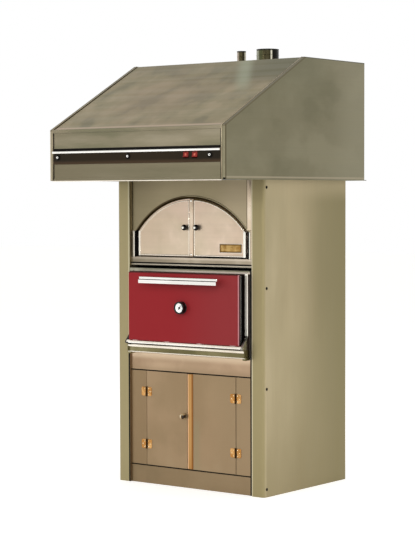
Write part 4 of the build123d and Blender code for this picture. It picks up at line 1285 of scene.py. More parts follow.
@dataclass
class Hood:
    """The hood with its hems, control strip, switches, spigots and filters."""

    paint: Paint
    fascia_rise: float = 0.245
    slope_run: float = 0.635
    flange: float = 0.020
    bead: Pair = (6 * MM, 2.6 * MM)
    gap: Pair = (7 * MM, 0.5 * MM)
    gap_shift: float = 3.2 * MM
    fixing_inset: float = 13.5 * MM
    middle_fixing: float = -35 * MM
    rocker_tilt: float = 8.0
    rocker_half: float = 12 * MM
    rocker_face: float = 9 * MM
    rocker_depth: float = 8 * MM
    rocker_side: float = 15 * MM
    lens_half: float = 5.5 * MM
    lens_side: float = 5 * MM
    exhaust_radius: float = 57 * MM
    conduit_radius: float = 23 * MM
    low: Vector = field(init=False)
    high: Vector = field(init=False)

    def __post_init__(self) -> None:
        """Measure the side sheet that the others meet."""
        self.low, self.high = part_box("hood_side_right")

    def build(self) -> None:
        """Dress the hood's sheets and add its details."""
        self.paint.dress(Finish.HOOD, "hood_fascia", "hood_top", "hood_back")
        self.paint.dress(Finish.SLOPE, "hood_slope")
        self.paint.dress(Finish.HOOD_SIDE, "hood_side_left", "hood_side_right")
        self.paint.dress(Finish.ZINC, "hood_soffit")
        self.paint.dress(Finish.INOX, "grease_filters")
        self.paint.dress(Finish.SPIGOT, "exhaust_spigot", "conduit_spigot")
        self.paint.dress(Finish.STRIP, "control_strip")
        self.paint.dress(Finish.POLISHED, "control_rail")
        self.seams()
        self.front_hems()
        self.fixings()
        for side in ("left", "right"):
            self.rocker(side)
        self.rims()

    def seams(self) -> None:
        """Add the rolled seams along the inner edges of both side flanges, over black strips of painted
        shade.
        """
        beads, seam_shadows = [], []
        y, crease = self.low.y, self.low.z + self.fascia_rise
        for side in (-1, 1):
            x = side * (self.high.x - self.flange)
            path = np.array([(x, y, self.low.z + 1 * MM), (x, y, crease),
                             (x, y + self.slope_run, self.high.z - 1 * MM)])
            beads.append(sweep(path, bead_profile(*self.bead), (-1.0, 0.0, 0.0)))
            path[:, 0] -= side * self.gap_shift
            seam_shadows.append(sweep(path, bead_profile(*self.gap, 4), (-1.0, 0.0, 0.0)))
        self.paint.solid("hood_seams", beads, Finish.SEAM, CABINET, "hood_steel")
        self.paint.solid("hood_seam_shadows", seam_shadows, Finish.SHADOW, CABINET, "hood_steel")

    def front_hems(self) -> None:
        """Add the hem under the crease, the lip along the lower edge, its notch and the strip's channel."""
        half, y, base = self.high.x - self.flange, self.low.y, self.low.z
        hem = in_mm([(1, 1.5), (-1.5, -0.5), (-2.5, -3), (-1.5, -5.5), (-1, -14), (-1.8, -16), (1, -17)],
                    (y, base + self.fascia_rise))
        self.paint.solid("crease_hem", [bar(hem, -half, half)], Finish.HOOD, CABINET, "hood_steel",
                         rounding=0.6 * MM)
        lip = in_mm([(2, -3.6), (-1.5, -3.6), (-2.5, -1.6), (-1.5, 0.8), (2, 0.8)], (y, base))
        self.paint.solid("lower_lip", [bar(lip, -half, half)], Finish.BRIGHT, CABINET, "hood_steel",
                         rounding=0.8 * MM)
        # The notch is black: painted shade in the corner
        notch = in_mm([(-1, 0.3), (-2.5, 1), (-2.5, 7), (-1, 9), (4, 9), (4, 0.3)], (y, base))
        self.paint.solid("corner_notch", [bar(notch, half + 10 * MM, half + 19.5 * MM)], Finish.SHADOW,
                         CABINET, "hood_steel", smooth=False)
        low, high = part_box("control_strip")
        # The channel is black: painted shade above the rail
        channel = in_mm([(3, -9), (-2.2, -9), (-2.8, -6), (-2.4, 1), (3, 2.5)], (y, high.z))
        self.paint.solid("strip_channel", [bar(channel, low.x, high.x)], Finish.SHADOW, CABINET,
                         "strip_black", rounding=0.5 * MM)

    def fixings(self) -> None:
        """Replace the strip's fixings with domed screws in dark collars."""
        low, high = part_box("strip_fixings")
        collar = in_mm([(13.5, 0), (13.5, 1.6), (12.4, 3.2), (8.2, 3.6), (7.8, 1)])
        dome = in_mm([(6.2, 0), (6.2, 4.8), (5.8, 6.8), (4.8, 7.8), (3.6, 7.4), (3.4, 3)])
        # Black discs in the screws' sockets: painted shade
        socket = in_mm([(3.8, 0), (3.8, 5.2)])
        xs = (low.x + self.fixing_inset, self.middle_fixing, high.x - self.fixing_inset)
        spots = [(x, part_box("control_strip")[0].y, (low.z + high.z) / 2) for x in xs]
        self.paint.solid("fixing_screws", [lathe(dome, spot) for spot in spots], Finish.POLISHED, CABINET,
                         "polished", "strip_fixings")
        collars = [lathe(profile, spot) for spot in spots for profile in (collar, socket)]
        self.paint.solid("fixing_collars", collars, Finish.SHADOW, CABINET, "strip_black")

    def rocker(self, side: str) -> None:
        """Replace one rocker with a saddle-faced key and its lens.

        Both faces are parabolas: their reach grows with the square of the height above or below the pivot.
        The whole profile is turned back by the tilt.

        Args:
            side: left or right.
        """
        x, _, z = middle_of(f"rocker_{side}")
        pivot = (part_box("control_strip")[0].y + self.rocker_depth, z)
        turn = math.radians(-self.rocker_tilt)
        spin = np.array([[math.cos(turn), math.sin(turn)], [-math.sin(turn), math.cos(turn)]])
        body = f"rocker_key_{side}"
        back = in_mm([(-6, 12), (6, 6), (6, -6), (-6, -12)])
        face = self.saddle(self.rocker_half, self.rocker_face, 2 * MM, 13)
        key = bar(np.concatenate([face, back]) @ spin + pivot, x - self.rocker_side, x + self.rocker_side)
        self.paint.solid(f"rocker_key_{side}_cap", [key], Finish.ROCKER, body, "rocker_red", f"rocker_{side}",
                         rounding=0.9 * MM, segments=3)
        foot = in_mm([(-7, 5.5), (-7, -5.5)])
        face = self.saddle(self.lens_half, self.rocker_face + 0.9 * MM, 1.2 * MM, 9)
        lens = bar(np.concatenate([face, foot]) @ spin + pivot, x - self.lens_side, x + self.lens_side)
        self.paint.solid(f"rocker_lens_{side}", [lens], Finish.LENS, body, "rocker_red", rounding=0.5 * MM)

    def saddle(self, half: float, reach: float, rise: float, steps: int) -> np.ndarray:
        """Work out the hollow face of a rocker or its lens.

        Args:
            half: half of its height.
            reach: how far it stands in front of the pivot.
            rise: how much further it would reach at the rocker's own end.
            steps: points along it.

        Returns:
            Rows of y and z from the pivot.
        """
        height = np.linspace(-half, half, steps)
        return np.stack([-reach - rise * (height / self.rocker_half) ** 2, height], axis=-1)

    def rims(self) -> None:
        """Roll the upper rims of both spigots and add a swage line and flange screws to each."""
        rims, screws = [], []
        dome = in_mm([(3.4, 0), (3, 1.2), (1.4, 2)])
        spigots = {"exhaust_spigot": self.exhaust_radius, "conduit_spigot": self.conduit_radius}
        for node, radius in spigots.items():
            low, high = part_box(node)
            x, y, _ = middle_of(node)
            for level, size in ((high.z - 1.8 * MM, 1.7 * MM), (high.z - 30 * MM, 1.6 * MM)):
                ring = oval(size, size, 12, (radius - 0.4 * MM, level))
                rims.append(hoop(ring, (x, y, 0.0), Axis.Z, 1, 64))
            flange = (high.x - low.x) / 2 - 8 * MM
            for bearing in np.radians((45, 135, 225, 315)).tolist():
                spot = (x + flange * math.cos(bearing), y + flange * math.sin(bearing), self.high.z)
                screws.append(lathe(dome, spot, Axis.Z, 1, 16))
        self.paint.solid("spigot_rims", rims, Finish.SPIGOT, CABINET, "frame_steel", closed=True)
        self.paint.solid("spigot_screws", screws, Finish.INOX, CABINET, "frame_steel")


@dataclass
class OvenFront:
    """The red oven door with its handle and thermometer, its frame, hinge and ledge."""

    paint: Paint
    body: str = "oven_door"
    edge: float = 4 * MM
    skin: float = 2 * MM
    post_inset: float = 49 * MM
    dial_radius: float = 22.6
    bezel_radius: float = 30.5
    scale: Pair = (225.0, -45.0)
    marks: int = 13
    long_stroke: Pair = (15.6, 0.32)
    short_stroke: Pair = (17.6, 0.18)
    stroke_end: float = 20.5
    numbers: tuple[int, ...] = (0, 100, 200, 300, 400)
    number_size: float = 3.8 * MM
    number_radius: float = 12.2 * MM
    gasket_radius: float = 3.7 * MM
    gasket_inset: float = 5 * MM
    rope_u: float = 10.0
    trim_foot: float = 0.762
    trim_half_heights: Pair = (0.1430, 0.1485)
    trim_half_width: float = 8.5 * MM
    trim_inset: float = 17.5 * MM
    nose_radius: float = 8.9 * MM
    bracket_x: float = 0.354
    low: Vector = field(init=False)
    high: Vector = field(init=False)

    def __post_init__(self) -> None:
        """Measure the door's pan."""
        self.low, self.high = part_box("door_pan")

    def build(self) -> None:
        """Dress the door's nodes and add its skin, handle, thermometer, gasket and trims."""
        self.paint.dress(Finish.DARK, "door_liner")
        self.paint.dress(Finish.FIBRE, "door_insulation")
        self.paint.dress(Finish.POLISHED, "hinge_rod")
        self.paint.dress(Finish.INK, "thermometer_needle")
        self.paint.dress(Finish.FRAME, "face_frame")
        self.paint.dress(Finish.BRACKET, "hinge_brackets")
        self.paint.dress(Finish.LEDGE, "ledge_shelf")
        self.door_skin()
        self.handle()
        self.thermometer()
        self.gasket()
        self.liner_bead()
        self.hinge_roll()
        self.trims()
        self.ledge()

    def door_skin(self) -> None:
        """Replace the door's pan with an enamelled one whose face is slightly crowned."""
        x, _, z = middle_of("door_pan")
        depth = self.high.y - self.low.y
        stations = [(self.skin, self.skin + 0.5 * MM), (self.skin, depth),
                    *rounded_stations(self.edge, 0.35 * MM, depth), (12 * MM, 0.15 * MM), (60 * MM, 0.0)]
        half_width, half_height = (self.high.x - self.low.x) / 2, (self.high.z - self.low.z) / 2
        rings = panel_rings((x, self.low.y, z), half_width, half_height, 5 * MM, stations, 6)
        self.paint.solid("door_skin", [rings], Finish.ENAMEL, self.body, "red_enamel", "door_pan")

    def handle(self) -> None:
        """Replace the handle with a folded polished bar on two turned posts."""
        low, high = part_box("door_handle")
        front, top, base = low.y, high.z - 3.5 * MM, low.z + 6 * MM
        fold = top - 11.5 * MM
        grip = block(low.x + 1 * MM, high.x - 1 * MM, front, front + 4 * MM, base, fold - 3 * MM)
        brow = in_mm([(1, -1), (1, -11.1), (5, -12.1), (21.5, -3.2), (20, 0), (3, 0)], (front, top))
        self.paint.solid("handle_bar", [grip, bar(brow, low.x + 6 * MM, high.x + 5 * MM)], Finish.POLISHED,
                         self.body, "polished", "door_handle", rounding=0.9 * MM, segments=3)
        # A black strip in the fold: painted shade
        groove = block(low.x + 4 * MM, high.x - 3 * MM, front + 2.2 * MM, front + 4.6 * MM, fold - 5 * MM,
                       fold + 2 * MM)
        self.paint.solid("handle_groove", [groove], Finish.SHADOW, self.body, "polished", smooth=False)
        reach = (self.low.y - front) / MM - 2
        post = in_mm([(9.5, 0), (9.5, 2), (7.4, 3.6), (6.4, 8), (6.4, reach - 6), (7.5, reach)])
        posts = [lathe(post, (x, self.low.y + 0.3 * MM, (fold + base) / 2))
                 for x in (low.x + self.post_inset, high.x - self.post_inset)]
        self.paint.solid("handle_posts", posts, Finish.POLISHED, self.body, "polished")

    def thermometer(self) -> None:
        """Replace the thermometer's case with a stepped bezel, dial, marks, glass and stem.

        The profiles are radius and reach from the door's face in millimetres.
        """
        low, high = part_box("thermometer_case")
        centre = (0.0, self.low.y, (low.z + high.z) / 2)
        reach, back = (self.low.y - low.y) / MM, (high.y - self.low.y) / MM
        dial, rim = self.dial_radius, self.bezel_radius
        slot = "case_black"
        bezel = in_mm([(dial, reach - 11), (dial, reach - 2.2), (23.8, reach), (27.6, reach),
                       (29.6, reach - 1.4), (rim, reach - 4), (rim, reach - 8), (28.6, reach - 9.5),
                       (28.6, 3), (rim, 1.8), (rim, 0), (dial, 0)])
        self.paint.solid("thermometer_bezel", [hoop(bezel, centre)], Finish.KNOB, self.body, slot,
                         "thermometer_case", closed=True, rounding=0.4 * MM)
        wall = in_mm([(dial + 0.2, reach - 10.8), (dial + 0.2, reach - 4.6), (dial - 0.8, reach - 4.6),
                      (dial - 0.8, reach - 10.8)])
        self.paint.solid("thermometer_wall", [hoop(wall, centre)], Finish.DIAL, self.body, slot, closed=True)
        plate = in_mm([(dial - 0.2, reach - 12), (dial - 0.2, reach - 10.4), (dial - 1.2, reach - 10)])
        self.paint.solid("thermometer_dial", [lathe(plate, centre)], Finish.DIAL, self.body, slot)
        glass = in_mm([(dial - 0.2, reach - 4.4), (dial - 0.2, reach - 3.2), (16, reach - 2.2),
                       (8, reach - 1.7)])
        self.paint.solid("thermometer_glass", [lathe(glass, centre)], Finish.GLASS, self.body, slot)
        stem = in_mm([(4, -3), (4, 8 - back), (2.6, 2 - back), (0.8, -back)])
        self.paint.solid("thermometer_stem", [lathe(stem, centre, segments=24)], Finish.INOX, self.body, slot)
        cap = in_mm([(5.6, reach - 7.2), (5.6, reach - 6), (3.6, reach - 5.2)])
        self.paint.solid("needle_cap", [lathe(cap, centre, segments=24)], Finish.INK, "needle", slot)
        self.dial_marks(centre, low.y + 10 * MM)

    def dial_marks(self, centre: Point, face: float) -> None:
        """Put the scale on the dial: radial strokes, every third of them a long one, and plain numbers.

        A stroke is given by its inner radius and half its width, in millimetres.

        Args:
            centre: middle of the dial.
            face: y of the dial's face.
        """
        top, base = face - 0.25 * MM, face + 0.1 * MM
        strokes = []
        for index, turn in enumerate(np.radians(np.linspace(*self.scale, self.marks))):
            start, half = self.long_stroke if index % 3 == 0 else self.short_stroke
            radial = np.array([math.cos(turn), math.sin(turn)]) * MM
            across = np.array([-radial[1], radial[0]]) * half
            inner, outer = radial * start, radial * self.stroke_end
            flat = np.stack([inner - across, outer - across, outer + across, inner + across])
            strokes.append(np.stack([upright(flat, (centre[0], y, centre[2])) for y in (base, top)]))
        self.paint.solid("dial_strokes", strokes, Finish.INK, self.body, "case_black", smooth=False)
        bearings = np.linspace(*self.scale, len(self.numbers)).tolist()
        for number, bearing in zip(self.numbers, bearings):
            self.number(number, bearing, centre, top)

    def number(self, number: int, bearing: float, centre: Point, face: float) -> None:
        """Write one plain number on the dial.

        Args:
            number: the number.
            bearing: its direction from the dial's middle, in degrees from +X.
            centre: middle of the dial.
            face: y of the number's face.
        """
        text = bpy.data.curves.new(f"number_{number}", "FONT")
        text.body = str(number)
        text.size = self.number_size
        text.align_x = "CENTER"
        text.align_y = "CENTER"
        text.extrude = 0.1 * MM
        holder = bpy.data.objects.new("number_holder", text)
        mesh = bpy.data.meshes.new_from_object(holder)
        bpy.data.objects.remove(holder)
        turn = math.radians(bearing)
        spot = Vector((centre[0] + self.number_radius * math.cos(turn), face,
                       centre[2] + self.number_radius * math.sin(turn)))
        mesh.transform(Matrix.Translation(spot) @ Matrix.Rotation(math.radians(90), 4, "X"))
        piece = bpy.data.objects.new(f"dial_number_{number}", mesh)
        bpy.context.scene.collection.objects.link(piece)
        mesh.materials.clear()
        self.paint.piece(piece, Finish.INK, self.body, "case_black")

    def gasket(self) -> None:
        """Replace the gasket with a braided rope round the opening.

        Its UV map runs along the rope in u, from 0 to rope_u, and once round it in v.
        """
        low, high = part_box("door_gasket")
        x, y, z = middle_of("door_gasket")
        half_width, half_height = (high.x - low.x) / 2, (high.z - low.z) / 2
        flat = rounded_outline(half_width - self.gasket_inset, half_height - self.gasket_inset, 12 * MM, 10)
        path = upright(flat, (x, y + 0.1 * MM, z))
        profile = oval(self.gasket_radius, self.gasket_radius * 1.2, 16)
        rope = tubes("gasket_rope", [sweep(path, profile, (0.0, 1.0, 0.0), closed=True)], closed=True)
        mesh = rope.data
        gaps = np.linalg.norm(np.roll(path, -1, axis=0) - path, axis=1)
        travelled = np.concatenate([[0.0], np.cumsum(gaps)])
        corner = np.zeros(len(mesh.loops), int)
        mesh.loops.foreach_get("vertex_index", corner)
        row, column = np.divmod(corner, len(profile))
        layer = mesh.uv_layers.new(name="run")
        uv = np.stack([travelled[row] / travelled[-1] * self.rope_u, column / len(profile)], axis=-1)
        layer.data.foreach_set("uv", uv.astype(np.float32).ravel())
        self.paint.piece(rope, Finish.ROPE, CABINET, "gasket", "door_gasket")

    def liner_bead(self) -> None:
        """Add the rolled bead round the back edge of the door's liner."""
        low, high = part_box("door_liner")
        x, _, z = middle_of("door_liner")
        flat = rounded_outline((high.x - low.x) / 2, (high.z - low.z) / 2, 3 * MM, 5)
        path = upright(flat, (x, self.high.y + 14 * MM, z))
        bead = sweep(path, oval(1.6 * MM, 1.1 * MM, 10), (0.0, 1.0, 0.0), closed=True)
        self.paint.solid("liner_bead", [bead], Finish.INOX, self.body, "dark_steel", closed=True)

    def hinge_roll(self) -> None:
        """Add the bright roll under the door's lower edge, an arc that covers the hinge rod from above."""
        low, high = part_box("hinge_rod")
        rod = (self.low.y + 10 * MM, self.low.z - 11 * MM)
        outer, inner = arc(rod, 9.6 * MM, 10.6 * MM, 90, 182, 10), arc(rod, 7.6 * MM, 8.6 * MM, 182, 90, 10)
        roll = bar(np.concatenate([outer, inner]), low.x + 8 * MM, high.x - 8 * MM)
        self.paint.solid("hinge_roll", [roll], Finish.BRIGHT, self.body, "polished", rounding=0.5 * MM)

    def trims(self) -> None:
        """Add the bright upright trims of the face frame."""
        low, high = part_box("face_frame")
        stacks = []
        for side, half_height in zip((-1, 1), self.trim_half_heights):
            centre = (side * (high.x - self.trim_inset), low.y - 1 * MM, self.trim_foot + half_height)
            stacks.append(plate_rings(centre, self.trim_half_width, half_height, 3 * MM, 2.4 * MM, 6 * MM))
        self.paint.solid("frame_trims", stacks, Finish.TRIM, CABINET, "frame_steel")

    def ledge(self) -> None:
        """Add the ledge's polished nosing, drip edge, end brackets and end caps."""
        low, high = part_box("ledge_shelf")
        radius, slot = self.nose_radius, "side_steel"
        y, z, heel_y = low.y + 8.5 * MM, high.z - 8.5 * MM, high.y - 1 * MM
        heel = [(y + 4 * MM, z - radius), (y + 4 * MM, z + radius - 0.6 * MM),
                (heel_y, z + radius - 0.6 * MM), (heel_y, z + radius)]
        nose = bar(np.concatenate([arc((y, z), radius, radius, 90, 270, 13), heel]), low.x - 0.5 * MM,
                   high.x + 0.5 * MM)
        self.paint.solid("ledge_nosing", [nose], Finish.BRIGHT, CABINET, slot, rounding=0.5 * MM)
        band_y = low.y + 8 * MM
        drip = in_mm([(-1.6, 1), (-1.2, -1.4), (6, -1.4), (6, 1), (0, 3.4)], (band_y, low.z))
        self.paint.solid("ledge_drip", [bar(drip, low.x, high.x)], Finish.BRIGHT, CABINET, slot,
                         rounding=0.6 * MM)
        spots = [(side * self.bracket_x, band_y - 1 * MM, low.z - 2 * MM) for side in (-1, 1)]
        brackets = [plate_rings(spot, 10 * MM, 8 * MM, 3 * MM, 2 * MM, 34 * MM) for spot in spots]
        self.paint.solid("ledge_brackets", brackets, Finish.LEDGE, CABINET, slot)
        front, top, foot = y - radius - 0.4 * MM, high.z + 0.3 * MM, low.z + 2 * MM
        cap = np.array([(front, foot), (front, high.z - 1 * MM), (y, top), (heel_y, top), (heel_y, foot)])
        caps = [bar(cap, low.x - 0.6 * MM, low.x + 4.5 * MM), bar(cap, high.x - 1.5 * MM, high.x + 0.6 * MM)]
        self.paint.solid("ledge_caps", caps, Finish.LEDGE, CABINET, slot, smooth=False)


@dataclass
class ArchFront:
    """The arched doors above the oven, with their surround, knobs and plate."""

    paint: Paint
    radius: float = 0.43305
    half: float = 0.344
    apex: float = 1.424
    inset: float = 11 * MM
    spring: float = 1.254
    rim_width: float = 5 * MM
    rim_height: float = 1.8 * MM
    rim_inset: float = 7 * MM
    rim_drop: float = 8 * MM
    foot_drop: float = 7 * MM
    leaf_depth: float = 18 * MM
    left_inner: float = 11 * MM
    right_inner: float = 12 * MM
    fold_gap: float = 0.012
    plate_centre: Pair = (0.237, 1.175)
    plate_half: Pair = (66 * MM, 20.5 * MM)
    plate_pin: float = 56 * MM
    jambs: Pair = (-0.3570, 0.3545)
    right_strip: Pair = (0.3395, 0.3745)
    right_margin: Pair = (0.3592, 0.3745)
    left_margin: Pair = (-0.3665, -0.3602)
    left_seam: Pair = (-0.3690, -0.3655)
    right_seam: Pair = (0.3360, 0.3390)
    face: float = field(init=False)

    def __post_init__(self) -> None:
        """Measure where the doors' front faces are."""
        self.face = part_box("arch_door_left")[1].y - self.leaf_depth

    def build(self) -> None:
        """Dress the surround and doors and add rims, knobs, plate, jambs and trims."""
        self.paint.dress(Finish.ARCH_PANEL, "arch_panel")
        self.paint.dress(Finish.GAP_SHADE, "arch_reveal")
        self.paint.dress(Finish.SILL, "sill_rail")
        self.paint.dress(Finish.ARCH_DOOR, "arch_door_left", "arch_door_right")
        for side, name in ((-1, "left"), (1, "right")):
            self.rim(side, name)
            self.knob(name)
        self.astragal()
        self.plate()
        self.surround()
        self.sill()

    def leaf_path(self, side: int, margin: float) -> np.ndarray:
        """Work out a line along a door's outline.

        Args:
            side: -1 for the left door, 1 for the right one.
            margin: how far it lies inside the outline.

        Returns:
            A closed line, straight below and at the sides, and an arc above whose points lie one radius from
            the arch's centre.
        """
        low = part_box(f"arch_door_{'right' if side > 0 else 'left'}")[0]
        radius = self.radius - self.inset - margin
        outer = self.half - self.inset - margin
        inner = (self.right_inner if side > 0 else self.left_inner) + min(margin, self.rim_width)
        start, end = (math.degrees(math.acos(reach / radius)) for reach in (outer, inner))
        base = low.z + min(margin, self.rim_width) - self.rim_drop
        flat = np.concatenate([[(inner, base), (outer, base)],
                               arc((0.0, self.apex - self.radius), radius, radius, start, end, 40)])
        return upright(flat * (side, 1), (0.0, self.face, 0.0))

    def edging(self, name: str, path: np.ndarray, width: float, height: float, finish: Finish,
               body: str) -> None:
        """Lay a rounded edging along a closed line on the doors, mitred at its corners.

        Args:
            name: the piece's name.
            path: the line.
            width: the edging's width.
            height: how far it stands proud.
            finish: what covers it.
            body: the door that carries it.
        """
        bead = bead_profile(width, height, 7)
        profile = np.stack([0.2 * MM - bead[:, 1], bead[:, 0]], axis=-1)
        ring = sweep(path, profile, (0.0, 1.0, 0.0), closed=True)
        self.paint.solid(name, [ring], finish, body, "arch_steel", closed=True)

    def rim(self, side: int, name: str) -> None:
        """Add one door's rolled rim, hem and bright upright edge, and a band of painted shade outside the
        right one's.

        The left upright is nearly flush, because the door's outer edge swings close to the jamb.

        Args:
            side: -1 for the left door, 1 for the right one.
            name: left or right.
        """
        body, slot = f"arch_leaf_{name}", "arch_steel"
        path = self.leaf_path(side, self.rim_inset + self.rim_width / 2)
        self.edging(f"arch_rim_{name}", path, self.rim_width, self.rim_height, Finish.BRIGHT, body)
        edge_inset, half_width, proud = 0.3 * MM, 5.8 * MM, 0.6 * MM
        if side > 0:
            edge_inset, half_width, proud = self.rim_inset, 7 * MM, 1.8 * MM
            gap_shadow = self.leaf_path(side, self.rim_inset / 2)
            self.edging("arch_gap_shadow", gap_shadow, self.rim_inset, 0.7 * MM, Finish.GAP_SHADE, body)
        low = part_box(f"arch_door_{name}")[0]
        outer, foot = self.half - self.inset, low.z - self.foot_drop
        ends = sorted((side * (outer - 0.5 * MM), side * 11.5 * MM))
        hem = block(*ends, self.face, self.face + 8 * MM, foot, low.z + 1 * MM)
        self.paint.solid(f"arch_hem_{name}", [hem], Finish.ARCH_DOOR, body, slot, smooth=False)
        half_height = (self.spring - foot) / 2
        centre = (side * (outer - edge_inset - half_width), self.face - proud, foot + half_height)
        edge = plate_rings(centre, half_width, half_height, 2 * MM, 0.5 * MM, proud + 0.5 * MM)
        self.paint.solid(f"arch_upright_{name}", [edge], Finish.TRIM, body, slot)

    def knob(self, name: str) -> None:
        """Replace one knob with a turned ball on a neck and rose, with a polished cap as a painted highlight.

        Args:
            name: left or right.
        """
        low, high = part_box(f"arch_knob_{name}")
        x, _, z = middle_of(f"arch_knob_{name}")
        body = f"arch_leaf_{name}"
        ball = turned_knob((high.z - low.z) / 2 + 1.6 * MM, high.y - low.y)
        self.paint.solid(f"arch_ball_{name}", [lathe(ball, (x, high.y, z))], Finish.KNOB, body, "black_knob",
                         f"arch_knob_{name}")
        cap = lathe(in_mm([(7, -4), (7, -1), (6.2, 0.1), (3.4, 0.8)]), (x, low.y + 0.8 * MM, z), segments=24)
        self.paint.solid(f"knob_highlight_cap_{name}", [cap], Finish.TRIM, body, "polished")

    def astragal(self) -> None:
        """Replace the strip on the right door with a rounded one that has a stud at each end."""
        low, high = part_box("arch_astragal")
        x, _, z = middle_of("arch_astragal")
        y, body = low.y - 0.5 * MM, "arch_leaf_right"
        strip = plate_rings((x, y, z), (high.x - low.x) / 2, (high.z - low.z) / 2, 2.5 * MM, 2.2 * MM,
                            4.5 * MM)
        self.paint.solid("arch_strip", [strip], Finish.ARCH_STRIP, body, "arch_steel", "arch_astragal")
        stud = in_mm([(6, 0), (5.4, 1.2), (3, 2.4), (1, 2.8)])
        studs = [lathe(stud, (x, y, level), segments=24) for level in (low.z + 9 * MM, high.z - 10 * MM)]
        self.paint.solid("arch_strip_studs", studs, Finish.POLISHED, body, "arch_steel")

    def plate(self) -> None:
        """Put the bare brass plate with its raised border and two pins on the right door."""
        (x, z), (wide, tall) = self.plate_centre, self.plate_half
        y, body = self.face - 2 * MM, "arch_leaf_right"
        recess = plate_rings((x, self.face - 0.7 * MM, z), wide + 1.6 * MM, tall + 1.6 * MM, 4 * MM, 0.3 * MM,
                             1 * MM)
        self.paint.solid("plate_recess", [recess], Finish.TRIM, body, "brass")
        border = [*rounded_stations(1 * MM, 0.0, 2.2 * MM), (4 * MM, 0.0), (5 * MM, 1.1 * MM),
                  (6 * MM, 1.2 * MM)]
        face = panel_rings((x, y, z), wide, tall, 3 * MM, border, 5)
        self.paint.solid("name_plate", [face], Finish.PLATE, body, "brass")
        pin = in_mm([(2.2, 0), (1.8, 0.9), (0.7, 1.3)])
        pins = [lathe(pin, (x + side * self.plate_pin, y + 1.3 * MM, z), segments=20) for side in (-1, 1)]
        self.paint.solid("plate_pins", pins, Finish.BRASS, body, "brass")

    def surround(self) -> None:
        """Add the bright jambs, the panel's edge trims, the arch's folded edge and the threshold."""
        low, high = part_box("arch_panel")
        half, spring = (self.spring - low.z) / 2, self.spring
        jambs = [plate_rings((x, low.y - 4.2 * MM, low.z + half), 3 * MM, half, 1.5 * MM, 1.5 * MM, 4 * MM)
                 for x in self.jambs]
        self.paint.solid("arch_jambs", jambs, Finish.TRIM, CABINET, "arch_steel")
        top, base = high.z - 0.5 * MM, low.z + 0.5 * MM
        self.flat_trims("panel_trims", Finish.ARCH_STRIP, (*self.right_strip, spring + 9 * MM, top, 2 * MM),
                        (*self.right_margin, base, spring + 8 * MM, 4 * MM))
        self.flat_trims("panel_margin", Finish.SILL, (*self.left_margin, base, spring + 2 * MM, 4 * MM))
        # The dark seams are painted shade at the panel's edges
        self.flat_trims("panel_seams", Finish.SHADOW, (*self.left_seam, spring + 3 * MM, top, 1 * MM),
                        (*self.right_seam, spring + 16 * MM, top, 1 * MM))
        self.arch_fold(low.y)
        step = in_mm([(-3, -1), (-3, 1.2), (20, 1.6), (20, -1)], (low.y, low.z))
        self.paint.solid("threshold", [bar(step, 1 * MM - self.half, self.half - 1 * MM)], Finish.ARCH_STRIP,
                         CABINET, "arch_steel", rounding=0.8 * MM)

    def flat_trims(self, name: str, finish: Finish, *spans: tuple[float, ...]) -> None:
        """Lay flat trims on the arched panel, as one piece.

        Args:
            name: the piece's name.
            finish: what covers it.
            spans: left, right, low, high and how far it stands proud, for each trim.
        """
        panel_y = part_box("arch_panel")[0].y
        stacks = []
        for left, right, low, high, proud in spans:
            centre = ((left + right) / 2, panel_y - proud, (low + high) / 2)
            stacks.append(plate_rings(centre, (right - left) / 2, (high - low) / 2, 1.2 * MM, 1 * MM,
                                      proud + 0.5 * MM, 4))
        self.paint.solid(name, stacks, finish, CABINET, "arch_steel")

    def arch_fold(self, face: float) -> None:
        """Add the folded edge of the arch opening.

        Its rings stand on the arc of the opening, each turned to the arc's own radius, and stop a small angle
        short of the springing.

        Args:
            face: y of the surround's front.
        """
        limit = math.acos(self.half / self.radius) + self.fold_gap
        turn = np.linspace(limit, math.pi - limit, 72)[:, None]
        fold = in_mm([(5, 0.5), (4, -1.4), (1, -2.2), (-1, -1.8), (-1.8, -0.4), (-1.6, 4), (0.5, 4)],
                     (self.radius, face))
        x, z = fold[:, 0] * np.cos(turn), self.apex - self.radius + fold[:, 0] * np.sin(turn)
        rings = np.stack([x, np.broadcast_to(fold[:, 1], x.shape), z], axis=-1)
        self.paint.solid("arch_fold", [rings], Finish.FOLD, CABINET, "arch_steel", rounding=0.5 * MM)

    def sill(self) -> None:
        """Add the light lip along the sill's lower edge, and a black strip of painted shade in the groove
        over it.
        """
        low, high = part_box("sill_rail")
        lip = in_mm([(2, 0), (-1.2, 1.2), (-2.2, 3.5), (-1.2, 6), (2, 7)], (low.y, low.z))
        self.paint.solid("sill_lip", [bar(lip, low.x, high.x)], Finish.SILL, CABINET, "arch_steel",
                         rounding=0.8 * MM)
        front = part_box("arch_panel")[0].y - 5.2 * MM
        groove = block(low.x, high.x, front, low.y + 2 * MM, low.z + 8 * MM, low.z + 14.5 * MM)
        self.paint.solid("sill_groove", [groove], Finish.SHADOW, CABINET, "arch_steel", smooth=False)


